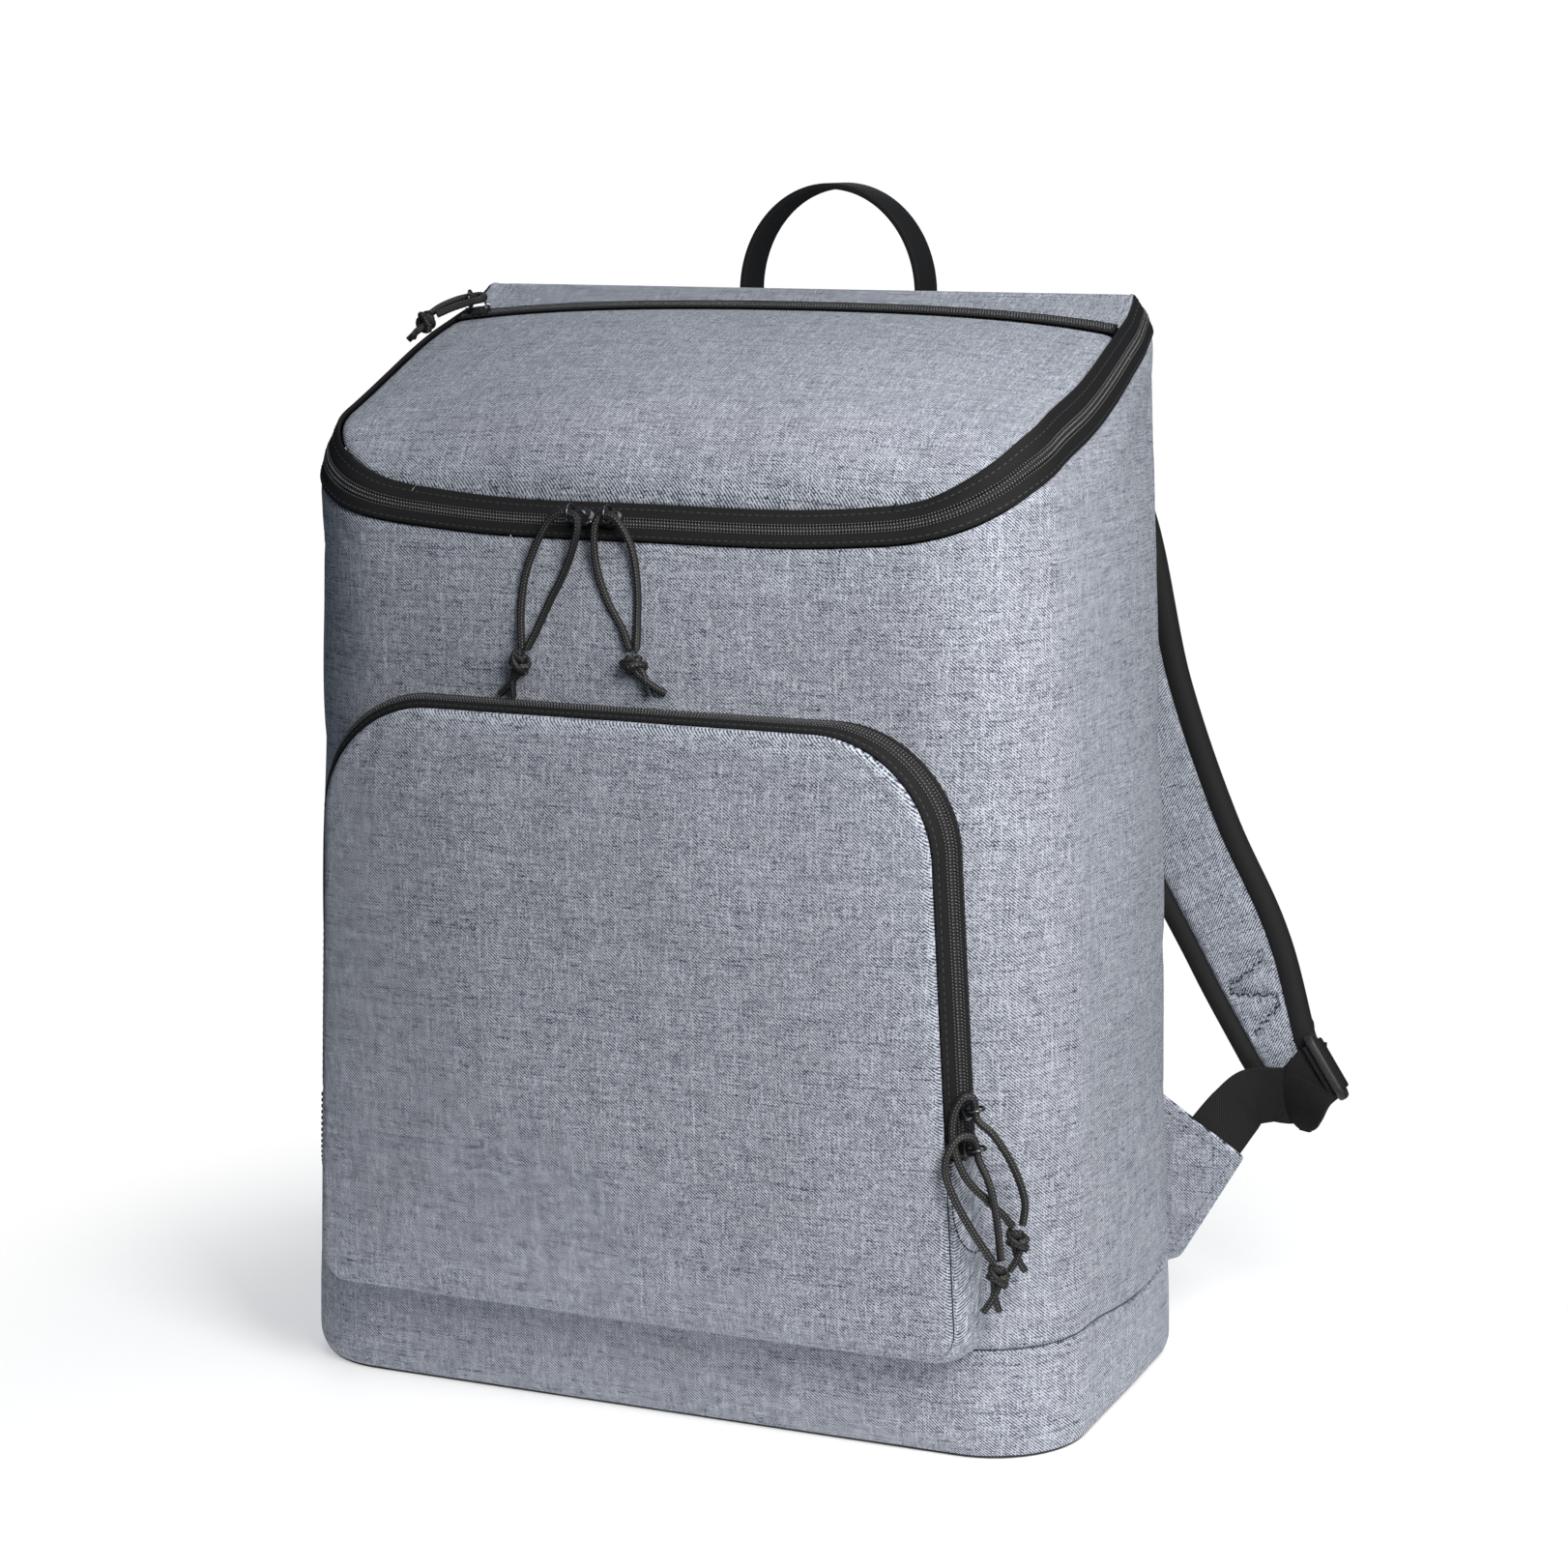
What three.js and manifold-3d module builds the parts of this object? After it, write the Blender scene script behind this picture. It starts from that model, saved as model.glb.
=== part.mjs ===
// A soft cooler backpack of melange cloth: a padded box that narrows upwards, a sloping lid with a
// zip round three sides, a zipped front pocket, a carry handle and two padded shoulder straps.
// Millimetres, +Z up. The front faces -Y, and +X is to the right of someone who looks at it.
// The origin is the middle of the underside.
import * as THREE from "three";
import { mergeVertices } from "three/addons/utils/BufferGeometryUtils.js";
import Module from "manifold-3d";

const wasm = await Module();
wasm.setup();

// Driving dimensions of the bag
const BAG_HEIGHT = 440;
const FRONT_HEIGHT = 357;
const BASE_WIDTH = 340;
const TOP_WIDTH = 308;
const BASE_DEPTH = 163;
const TOP_DEPTH = 172;
const BACK_FACE = 83;
const FRONT_CORNER = 42;
const BACK_CORNER_BASE = 22;
const BACK_CORNER_TOP = 12;
const WALL = 6;
const FRONT_SWELL = 4;
const SIDE_SWELL = 3;
const SEAM_GAP = 0.3;
const ZIP_GAP = 0.5;

// Base
const BASE_BAND = 44;
const BASE_PANEL = 5;
const BASE_EDGE = 1.2;
const BASE_INSET = 3.5;
const BASE_ROUND = 2.5;

// Lid and its zips
const ZIP_WIDTH = 20;
const ZIP_COIL = 4;
const TAPE = 1.4;
const COIL_RISE = 1;
const LID_WALL = 3.5;
const LID_STRIP = 2.2;
const LID_CROWN = 11;
const LID_ZIP_WIDTH = 11;
const LID_ZIP_REACH = 0.995;
const LID_SEAT = 1.7;
const LID_BACK_REACH = 4;
const TUCK_CURVE = 1.3;

// Front pocket
const POCKET_CENTRE = -3;
const POCKET_BASE_WIDTH = 286;
const POCKET_TOP_WIDTH = 270;
const POCKET_BOTTOM = 43;
const POCKET_TOP = 286;
const POCKET_DEPTH = 15.5;
const POCKET_TAPER = 6;
const POCKET_TOP_CORNER = 48;
const POCKET_BOTTOM_CORNER = 12;
const POCKET_SWELL = 5;
const POCKET_WALL = 3;
const POCKET_SEAT = 1.2;
const POCKET_BULGE = 1.6;
const POCKET_ZIP_END = 125;

// Sliders and pull cords
const SLIDER_LENGTH = 11;
const SLIDER_WIDTH = 8;
const SLIDER_HEIGHT = 2.4;
const BRIDGE_WIDTH = 1.2;
const BRIDGE_SPAN = 8;
const BRIDGE_RISE = 3.6;
const BRIDGE_BAR = 0.9;
const BAIL_RADIUS = 3.4;
const BAIL_WIRE = 0.55;
const BAIL_CLEARANCE = 0.15;
const BAIL_LEAN = 1.05;
const BAIL_SLIDE = 2;
const CORD = 3;
const KNOT_LENGTH = 11;
const KNOT_WIDTH = 8.4;

// Carry handle and shoulder straps
const HANDLE_SPAN = 80;
const HANDLE_RISE = 43;
const HANDLE_SHIFT = 8;
const HANDLE_FOOT = 34;
const HANDLE_TUCK = 2;
const HANDLE_WEB = 21;
const HANDLE_THICK = 2.6;
const STRAP_WIDTH = 58;
const STRAP_PAD = 10;
const STRAP_BOW = 38;
const BINDING = 8;
const BINDING_PROUD = 0.5;
const BINDING_GAP = 0.7;
const WEB_WIDTH = 25;
const WEB_THICK = 1.6;
const WING_THICK = 3.5;
const BUCKLE_WIDTH = 31;
const BUCKLE_LENGTH = 17;
const BUCKLE_BAR = 3.4;
const BUCKLE_THICK = 4;

const COLOURS = {
  cloth: { color: 0x8b96a6, roughness: 0.9, metalness: 0 },
  trim: { color: 0x1d1d1f, roughness: 0.85, metalness: 0 },
  plastic: { color: 0x151516, roughness: 0.45, metalness: 0 },
  wire: { color: 0x2b2b2d, roughness: 0.3, metalness: 0.9 },
};

// Height of the seam above the base band, as a share of BASE_BAND, from the front centre (0) to the
// back corner (1).
const BASE_SEAM = [
  { along: 0, height: 0.98 },
  { along: 0.45, height: 1 },
  { along: 0.62, height: 0.99 },
  { along: 0.74, height: 0.9 },
  { along: 0.84, height: 0.87 },
  { along: 0.91, height: 0.98 },
  { along: 0.96, height: 1.2 },
  { along: 1, height: 1.4 },
];

// The main zip: right and left are its rise on either side, as a share of the height from the front
// edge to the back edge. half and tuck are shares of ZIP_WIDTH: half its height, and how far its
// upper edge lies inside the wall. The soft left corner sits a little lower than the right one.
const ZIP_LINE = [
  { along: 0, right: 0, left: 0, half: 0.31, tuck: 0.55 },
  { along: 0.19, right: 0, left: 0, half: 0.31, tuck: 0.55 },
  { along: 0.32, right: 0.035, left: 0.035, half: 0.33, tuck: 0.52 },
  { along: 0.374, right: 0.075, left: 0.068, half: 0.36, tuck: 0.48 },
  { along: 0.42, right: 0.135, left: 0.115, half: 0.4, tuck: 0.42 },
  { along: 0.463, right: 0.21, left: 0.175, half: 0.43, tuck: 0.36 },
  { along: 0.514, right: 0.31, left: 0.255, half: 0.46, tuck: 0.31 },
  { along: 0.575, right: 0.395, left: 0.33, half: 0.47, tuck: 0.27 },
  { along: 0.677, right: 0.5, left: 0.475, half: 0.465, tuck: 0.25 },
  { along: 0.78, right: 0.636, left: 0.63, half: 0.465, tuck: 0.25 },
  { along: 0.853, right: 0.733, left: 0.73, half: 0.43, tuck: 0.27 },
  { along: 0.907, right: 0.807, left: 0.807, half: 0.4, tuck: 0.3 },
  { along: 0.952, right: 0.905, left: 0.905, half: 0.37, tuck: 0.36 },
  { along: 1, right: 0.925, left: 0.925, half: 0.31, tuck: 0.44 },
];

// Middle line of a shoulder strap: out is a share of half BASE_WIDTH, up of BAG_HEIGHT, bow of
// STRAP_BOW behind the back, width of STRAP_WIDTH.
const STRAP_LINE = [
  { down: 0, out: 0.525, up: 0.968, bow: 0, width: 0.97 },
  { down: 0.08, out: 0.53, up: 0.918, bow: 0.08, width: 1 },
  { down: 0.18, out: 0.575, up: 0.862, bow: 0.42, width: 0.97 },
  { down: 0.32, out: 0.67, up: 0.784, bow: 0.74, width: 0.93 },
  { down: 0.55, out: 0.778, up: 0.612, bow: 0.88, width: 0.87 },
  { down: 0.74, out: 0.92, up: 0.473, bow: 0.9, width: 0.81 },
  { down: 0.88, out: 1.06, up: 0.378, bow: 0.78, width: 0.75 },
  { down: 1, out: 1.185, up: 0.28, bow: 0.6, width: 0.57 },
];

// Routes of the five pull cords: the middle line from the knot up one leg, through the bail and
// down the other leg to the knot.
const PULL_ROUTES = {
  main_left: [
    [-46.8, -94, 307.4], [-47.6, -92.8, 320], [-45.6, -92.4, 336], [-39.4, -93, 350.4], [-33.4, -93.8, 359],
    [-29, -93.8, 361.2], [-25.8, -93.6, 360.8], [-23, -93.8, 360], [-21.8, -94.6, 356.4],
    [-23.4, -94.4, 349.4], [-28, -93, 339], [-35, -92.4, 326.5], [-41.6, -93.2, 313], [-44.4, -94.2, 307.6],
  ],
  main_right: [
    [0, -94.4, 309.6], [-4.4, -92.8, 318], [-10.5, -92.4, 328], [-14.8, -92.8, 341], [-15.2, -94, 352],
    [-14.2, -94.2, 358], [-12.4, -93.6, 360.4], [-10.1, -93.4, 360.8], [-7.6, -93.6, 360.6],
    [-3.8, -94, 357.4], [0.4, -93.2, 348.6], [2.4, -92.6, 334], [2.4, -92.8, 320], [2.6, -94.4, 309.8],
  ],
  pocket_upper: [
    [154, -87.4, 98], [151.4, -89.8, 102.6], [145.8, -95, 110], [139.5, -99, 118.5], [136, -100.4, 127.5],
    [134.6, -100.2, 138], [136, -100, 145.4], [138.8, -98.8, 149.4], [141.4, -96.4, 148.6],
    [141.8, -95.5, 144.4], [142.6, -95.4, 140.4], [147.6, -93, 135], [154.4, -88, 121.4],
    [158, -84.8, 107], [157.4, -85.6, 98.4],
  ],
  pocket_lower: [
    [150.2, -97.6, 86.4], [143.4, -101.6, 98.6], [136.8, -104.4, 112], [133.6, -105.2, 122],
    [135, -105, 130], [138.4, -101.6, 134.8], [141.6, -97, 133.4], [142.3, -95.3, 129], [143.2, -95.2, 124.8],
    [147.4, -96, 117], [150.4, -96, 105], [152.4, -95.6, 87],
  ],
  lid: [
    [-154, 30.6, 428.8], [-151.6, 36.2, 431.8], [-147.2, 41.8, 434.4], [-144, 44, 435.4],
    [-141.3, 45.1, 435.9], [-138.6, 45.9, 436.3], [-135.9, 45, 436.2], [-134.6, 42.6, 435.4],
    [-135.7, 40.2, 434.6], [-139.2, 38.2, 433.6], [-145.2, 34.6, 431.4], [-150.4, 30.2, 428.6],
  ],
};

// Where each knot sits and the ends of its two tails.
const KNOTS = {
  main_left: { at: [-47.2, -95, 302], tails: [[-57, -92.4, 289], [-51.3, -92.8, 288]] },
  main_right: { at: [1.9, -95.2, 304], tails: [[7.6, -93.6, 292.6], [14.4, -93.2, 293.4]] },
  pocket_upper: { at: [155.8, -86.6, 92.4], tails: [[153, -87.6, 80.6], [158.4, -85, 80.4]] },
  pocket_lower: { at: [151.6, -96.4, 81], tails: [[146.4, -98, 67], [152, -96, 67.4]] },
  lid: { at: [-153.4, 25.6, 425.2], tails: [[-156.8, 16.6, 418.4], [-153.2, 14.6, 419.8]] },
};

// Lower webbing of a strap, from the wing's upper edge to the buckle, and its free tail. Each row
// is the middle line, with the way across the webbing. A place gives its way out as a share of half
// BASE_WIDTH, its millimetres behind the back panel, and its height as a share of BAG_HEIGHT.
const LOWER_WEB = [
  { at: [1.0765, 5.2, 0.2059], across: [0.8, 0, -0.6] },
  { at: [1.1082, 9.0, 0.2241], across: [0.66, 0.1, -0.74] },
  { at: [1.1376, 15.0, 0.2364], across: [0.28, 0.14, -0.95] },
  { at: [1.1859, 20.0, 0.2386], across: [0.02, 0.2, -0.98] },
  { at: [1.2412, 23.0, 0.2373], across: [-0.1, 0.1, -0.99] },
  { at: [1.2859, 25.0, 0.2473], across: [0.3, 0.05, -0.95] },
];
const WEB_TAIL = [
  { at: [1.2918, 19.6, 0.2432], across: [0.34, 0.05, -0.94] },
  { at: [1.2506, 17.6, 0.2295], across: [0.5, 0.05, -0.86] },
  { at: [1.2212, 14.6, 0.2168], across: [0.62, 0, -0.78] },
];
const BUCKLE_AT = [1.3235, 23.6, 0.2659];
const BUCKLE_ACROSS = [0.55, -0.05, -0.83];
const BUCKLE_ALONG = [0.83, 0.1, 0.54];

// Corners of a strap wing behind the back corner, as shares of half BASE_WIDTH and of BAG_HEIGHT.
const WING_CORNERS = [
  { out: 0.8, up: 0.2545 },
  { out: 0.9235, up: 0.2432 },
  { out: 1.1471, up: 0.1864 },
  { out: 0.9882, up: 0.0818 },
  { out: 0.8, up: 0.05 },
];

const vector = (list) => new THREE.Vector3(...list);
const mix = (from, to, share) => from + (to - from) * share;

// Value of one column of a table at a place in its first column, on a smooth curve.
function tableValue(rows, place, column, at) {
  const last = rows.length - 1;
  let i = 0;
  while (i < last - 1 && at > rows[i + 1][place]) i += 1;
  const slope = (k) => {
    const low = rows[Math.max(k - 1, 0)];
    const high = rows[Math.min(k + 1, last)];
    return (high[column] - low[column]) / (high[place] - low[place]);
  };
  const step = rows[i + 1][place] - rows[i][place];
  const t = Math.min(Math.max((at - rows[i][place]) / step, 0), 1);
  const rise = rows[i + 1][column] - rows[i][column];
  const startBend = slope(i) * step;
  const endBend = slope(i + 1) * step;
  const cubic = startBend + endBend - 2 * rise;
  const square = 3 * rise - 2 * startBend - endBend;
  return rows[i][column] + t * (startBend + t * (square + t * cubic));
}

// A closed body from points and triangles, turned to face outwards.
function closedBody(points, triangles) {
  let volume = 0;
  for (const [a, b, c] of triangles) {
    volume += points[a].dot(new THREE.Vector3().crossVectors(points[b], points[c]));
  }
  const faces = volume < 0 ? triangles.map(([a, b, c]) => [a, c, b]) : triangles;
  const geometry = new THREE.BufferGeometry().setFromPoints(points);
  geometry.setIndex(faces.flat());
  geometry.computeVertexNormals();
  return geometry;
}

// A wall of even thickness on a surface(u, v), from `front` outside it to `back`.
function sheetBody(surface, columns, rows, front, back) {
  const nudge = 1e-3;
  const points = [];
  const triangles = [];
  const wallPoint = (u, v, out) => {
    const near = (value) => [Math.max(value - nudge, 0), Math.min(value + nudge, 1)];
    const [u0, u1] = near(u);
    const [v0, v1] = near(v);
    const alongU = surface(u1, v).sub(surface(u0, v));
    const alongV = surface(u, v1).sub(surface(u, v0));
    const normal = alongU.cross(alongV).normalize();
    return surface(u, v).addScaledVector(normal, out);
  };
  for (const out of [front, back]) {
    for (let j = 0; j <= rows; j += 1) {
      for (let i = 0; i <= columns; i += 1) points.push(wallPoint(i / columns, j / rows, out));
    }
  }
  const layer = (columns + 1) * (rows + 1);
  const at = (side, i, j) => side * layer + j * (columns + 1) + i;
  const quad = (a, b, c, d) => triangles.push([a, b, c], [a, c, d]);
  for (let j = 0; j < rows; j += 1) {
    for (let i = 0; i < columns; i += 1) {
      quad(at(0, i, j), at(0, i + 1, j), at(0, i + 1, j + 1), at(0, i, j + 1));
      quad(at(1, i, j + 1), at(1, i + 1, j + 1), at(1, i + 1, j), at(1, i, j));
    }
  }
  for (let i = 0; i < columns; i += 1) {
    quad(at(0, i, 0), at(1, i, 0), at(1, i + 1, 0), at(0, i + 1, 0));
    quad(at(1, i + 1, rows), at(1, i, rows), at(0, i, rows), at(0, i + 1, rows));
  }
  for (let j = 0; j < rows; j += 1) {
    quad(at(1, 0, j + 1), at(1, 0, j), at(0, 0, j), at(0, 0, j + 1));
    quad(at(0, columns, j), at(1, columns, j), at(1, columns, j + 1), at(0, columns, j + 1));
  }
  return closedBody(points, triangles);
}

// A body through closed loops of points, with a flat cap on its first and last loop.
function loftBody(loops) {
  const count = loops[0].length;
  const points = loops.flat();
  const triangles = [];
  for (let j = 0; j < loops.length - 1; j += 1) {
    for (let i = 0; i < count; i += 1) {
      const a = j * count + i;
      const b = j * count + ((i + 1) % count);
      triangles.push([a, b, b + count], [a, b + count, a + count]);
    }
  }
  const top = (loops.length - 1) * count;
  for (let i = 1; i < count - 1; i += 1) {
    triangles.push([0, i + 1, i], [top, top + i, top + i + 1]);
  }
  return closedBody(points, triangles);
}

// A flat band through stations: each has its middle, and its half width and half thickness as
// vectors.
function bandBody(stations) {
  const loops = stations.map(({ middle, side, face }) => [
    middle.clone().add(side).add(face),
    middle.clone().sub(side).add(face),
    middle.clone().sub(side).sub(face),
    middle.clone().add(side).sub(face),
  ]);
  return loftBody(loops);
}

// A band of webbing on a smooth curve through rows of a middle point and the way across.
function webbingBody(rows, width, thick, steps) {
  const curve = new THREE.CatmullRomCurve3(rows.map((row) => vector(row.at)));
  const acrossCurve = new THREE.CatmullRomCurve3(rows.map((row) => vector(row.across)));
  const stations = [];
  for (let i = 0; i <= steps; i += 1) {
    const tangent = curve.getTangent(i / steps);
    const across = acrossCurve.getPoint(i / steps);
    across.addScaledVector(tangent, -across.dot(tangent)).normalize();
    const face = new THREE.Vector3().crossVectors(tangent, across);
    stations.push({
      middle: curve.getPoint(i / steps),
      side: across.multiplyScalar(width / 2),
      face: face.multiplyScalar(thick / 2),
    });
  }
  return bandBody(stations);
}

// A manifold-3d solid of a geometry, and back.
function solidOf(geometry) {
  const bare = geometry.index ? geometry.toNonIndexed() : geometry.clone();
  bare.deleteAttribute("normal");
  bare.deleteAttribute("uv");
  const merged = mergeVertices(bare, 1e-4);
  return new wasm.Manifold(
    new wasm.Mesh({
      numProp: 3,
      vertProperties: new Float32Array(merged.attributes.position.array),
      triVerts: new Uint32Array(merged.index.array),
    }),
  );
}

function geometryOf(solid) {
  const mesh = solid.getMesh();
  const geometry = new THREE.BufferGeometry();
  geometry.setAttribute("position", new THREE.BufferAttribute(mesh.vertProperties, 3));
  geometry.setIndex(new THREE.BufferAttribute(mesh.triVerts, 1));
  geometry.computeVertexNormals();
  return geometry;
}

// The bag's outline at a height. `along` runs from 0 at the front centre to 1 at the end of the
// right back corner, and to -1 on the left.
function outline(along, z) {
  const share = z / BAG_HEIGHT;
  const half = mix(BASE_WIDTH, TOP_WIDTH, share) / 2;
  const depth = mix(BASE_DEPTH, TOP_DEPTH, share);
  const backCorner = mix(BACK_CORNER_BASE, BACK_CORNER_TOP, share);
  const front = BACK_FACE - depth;
  const frontRun = half - FRONT_CORNER;
  const frontArc = (FRONT_CORNER * Math.PI) / 2;
  const sideRun = depth - FRONT_CORNER - backCorner;
  const backArc = (backCorner * Math.PI) / 2;
  const hand = Math.sign(along) || 1;
  const s = Math.abs(along) * (frontRun + frontArc + sideRun + backArc);
  const height = Math.sqrt(Math.max(Math.sin((Math.PI * z) / BAG_HEIGHT), 0));
  let x = s;
  let y = front;
  let angle = 0;
  let swell = FRONT_SWELL * Math.cos((Math.PI / 2) * Math.min(s / (frontRun + frontArc / 2), 1)) ** 2;
  if (s > frontRun + frontArc + sideRun) {
    const turned = (s - frontRun - frontArc - sideRun) / backCorner;
    angle = Math.PI / 2 + turned;
    x = half - backCorner + backCorner * Math.cos(turned);
    y = BACK_FACE - backCorner + backCorner * Math.sin(turned);
    swell = 0;
  } else if (s > frontRun + frontArc) {
    angle = Math.PI / 2;
    x = half;
    y = front + FRONT_CORNER + (s - frontRun - frontArc);
    swell = SIDE_SWELL * Math.sin((Math.PI * (s - frontRun - frontArc)) / sideRun) ** 2;
  } else if (s > frontRun) {
    angle = (s - frontRun) / FRONT_CORNER;
    x = frontRun + FRONT_CORNER * Math.sin(angle);
    y = front + FRONT_CORNER * (1 - Math.cos(angle));
  }
  return {
    x: hand * x,
    y,
    outX: hand * Math.sin(angle),
    outY: -Math.cos(angle),
    swell: swell * height,
  };
}

// A point of the padded wall, `out` millimetres outside it.
function wallPoint(along, z, out = 0) {
  const place = outline(along, z);
  const push = place.swell + out;
  return new THREE.Vector3(place.x + place.outX * push, place.y + place.outY * push, z);
}

const seamHeight = (along) => BASE_BAND * tableValue(BASE_SEAM, "along", "height", Math.abs(along));

// A point across the main zip: share 0 is its lower edge on the wall, 1 its upper edge at the lid.
function zipPoint(along, share, inside = 0) {
  const at = Math.abs(along);
  const rise = tableValue(ZIP_LINE, "along", along < 0 ? "left" : "right", at);
  const half = ZIP_WIDTH * tableValue(ZIP_LINE, "along", "half", at);
  const tuck = ZIP_WIDTH * tableValue(ZIP_LINE, "along", "tuck", at);
  const z = mix(FRONT_HEIGHT, BAG_HEIGHT, rise) + half * (2 * share - 1);
  return wallPoint(along, z, -tuck * Math.max(share, 0) ** TUCK_CURVE - inside);
}

// The lid's surface: a from -1 at the left to 1 at the right, b from 0 at the front to 1 at the back,
// where its middle reaches on to the back panel.
const LID_START = 0.32;
const LID_END = 0.945;
const lidEdge = (along) => zipPoint(along, 1, LID_SEAT);
function lidPoint(a, b) {
  const along = mix(LID_START, LID_END, b);
  const point = lidEdge(-along).lerp(lidEdge(along), (a + 1) / 2);
  const edge = lidEdge(a * LID_START);
  const straight = lidEdge(-LID_START).lerp(lidEdge(LID_START), (a + 1) / 2);
  point.addScaledVector(edge.sub(straight), (1 - b) ** 2);
  point.z += LID_CROWN * (1 - a * a) * Math.sin(Math.PI * b);
  point.y += LID_BACK_REACH * (1 - a ** 6) * b ** 12;
  return point;
}

// Where the lid's own zip crosses it: it runs back in the middle and comes forward at the sides.
const LID_ZIP_MIDDLE = 0.93;
const LID_ZIP_SIDES = 0.06;
const lidZipPlace = (a) => LID_ZIP_MIDDLE - LID_ZIP_SIDES * Math.abs(a) ** 3;
const LID_ZIP_SHARE = LID_ZIP_WIDTH / (TOP_DEPTH + FRONT_CORNER);

// The strips of the two zips at the top: u from 0 to 1 along the zip, w from 0 to 1 across it.
const mainStrip = (u, w) => zipPoint(2 * u - 1, w);
const lidStrip = (u, w) => {
  const a = LID_ZIP_REACH * (2 * u - 1);
  return lidPoint(a, lidZipPlace(a) + LID_ZIP_SHARE * (w - 0.5));
};

// The pocket's rim: q from 0 at the bottom middle to 1 at the top middle, and to -1 on the left.
const RIM_BREAKS = [0, 0.2, 0.26, 0.62, 0.8, 1];
function pocketRim(q, inset) {
  const hand = Math.sign(q) || 1;
  const at = Math.abs(q);
  const bottom = POCKET_BOTTOM + inset * 0.2;
  const top = POCKET_TOP - inset * 0.5;
  const low = POCKET_BASE_WIDTH / 2 - inset;
  const high = POCKET_TOP_WIDTH / 2 - inset;
  const bottomCorner = POCKET_BOTTOM_CORNER;
  const topCorner = POCKET_TOP_CORNER;
  let piece = 0;
  while (piece < 4 && at > RIM_BREAKS[piece + 1]) piece += 1;
  const t = (at - RIM_BREAKS[piece]) / (RIM_BREAKS[piece + 1] - RIM_BREAKS[piece]);
  const angle = (t * Math.PI) / 2;
  const places = [
    [t * (low - bottomCorner), bottom],
    [low - bottomCorner * (1 - Math.sin(angle)), bottom + bottomCorner * (1 - Math.cos(angle))],
    [mix(low, high, t), mix(bottom + bottomCorner, top - topCorner, t)],
    [high - topCorner * (1 - Math.cos(angle)), top - topCorner * (1 - Math.sin(angle))],
    [(1 - t) * (high - topCorner), top],
  ];
  const [x, z] = places[piece];
  return { x: POCKET_CENTRE + hand * x, z };
}

// The body's front wall at a place looked at from the front, round most of its corners too.
const CORNER_REACH = 0.9;
function frontWallY(x, z) {
  const share = z / BAG_HEIGHT;
  const run = mix(BASE_WIDTH, TOP_WIDTH, share) / 2 - FRONT_CORNER;
  const front = BACK_FACE - mix(BASE_DEPTH, TOP_DEPTH, share);
  const past = Math.min(Math.max(Math.abs(x) - run, 0), FRONT_CORNER * CORNER_REACH);
  const reach = run + (FRONT_CORNER * Math.PI) / 4;
  const swell = FRONT_SWELL * Math.cos((Math.PI / 2) * Math.min(Math.abs(x) / reach, 1)) ** 2;
  const height = Math.sqrt(Math.max(Math.sin((Math.PI * z) / BAG_HEIGHT), 0));
  return front + FRONT_CORNER - Math.sqrt(FRONT_CORNER ** 2 - past ** 2) - swell * height;
}

const pocketFace = (z) => BACK_FACE - mix(BASE_DEPTH, TOP_DEPTH, z / BAG_HEIGHT) - POCKET_DEPTH;

// A point of the pocket's side wall: w from 0 at the body to 1 at the pocket's front.
function pocketWallPoint(q, w) {
  const back = pocketRim(q, 0);
  const front = pocketRim(q, POCKET_TAPER);
  const start = new THREE.Vector3(back.x, frontWallY(back.x, back.z) - POCKET_SEAT, back.z);
  const end = new THREE.Vector3(front.x, pocketFace(front.z), front.z);
  const point = start.lerp(end, w);
  const middle = (POCKET_BOTTOM + POCKET_TOP) / 2;
  const away = new THREE.Vector3(point.x - POCKET_CENTRE, 0, point.z - middle).normalize();
  return point.addScaledVector(away, POCKET_BULGE * Math.sin(Math.PI * w));
}

const POCKET_ZIP_SHARE = (POCKET_ZIP_END - POCKET_BOTTOM - POCKET_BOTTOM_CORNER)
  / (POCKET_TOP - POCKET_TOP_CORNER - POCKET_BOTTOM - POCKET_BOTTOM_CORNER);
const ZIP_END_Q = mix(RIM_BREAKS[2], RIM_BREAKS[3], POCKET_ZIP_SHARE);
const ZIP_END_CLEAR = 0.004;

// Place on the pocket's rim of a share p of its zip, from the right end over the top.
function pocketZipQ(p) {
  const up = 1 - Math.abs(2 * p - 1);
  return (p < 0.5 ? 1 : -1) * mix(ZIP_END_Q, 1, up);
}
const pocketStrip = (u, w) => pocketWallPoint(pocketZipQ(u), w);

// A zip tape or coil: part of a strip between two edges, kept `low` to `high` off its surface.
const stripBody = (strip, from, to, low, high, steps) =>
  sheetBody((u, v) => strip(u, mix(from, to, v)), steps, 1, high, low);

// Pieces by name, with their finish
const pieces = [];
const addPiece = (name, geometry, finish) => pieces.push({ name, geometry, finish });

function addBody() {
  const columns = 38;
  const shell = (u, v) => {
    const along = 2 * u - 1;
    const low = seamHeight(along) + SEAM_GAP;
    const high = zipPoint(along, 0).z - ZIP_GAP;
    return wallPoint(along, mix(low, high, v));
  };
  addPiece("body_shell", sheetBody(shell, columns, 5, 0, -WALL), "cloth");
  const band = (u, v) => {
    const along = 2 * u - 1;
    const rounding = BASE_ROUND * Math.max(1 - v * 5, 0) ** 2;
    return wallPoint(along, mix(BASE_EDGE + SEAM_GAP, seamHeight(along), v), -rounding);
  };
  addPiece("base_band", sheetBody(band, columns, 5, 0, -WALL), "cloth");
}

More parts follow.
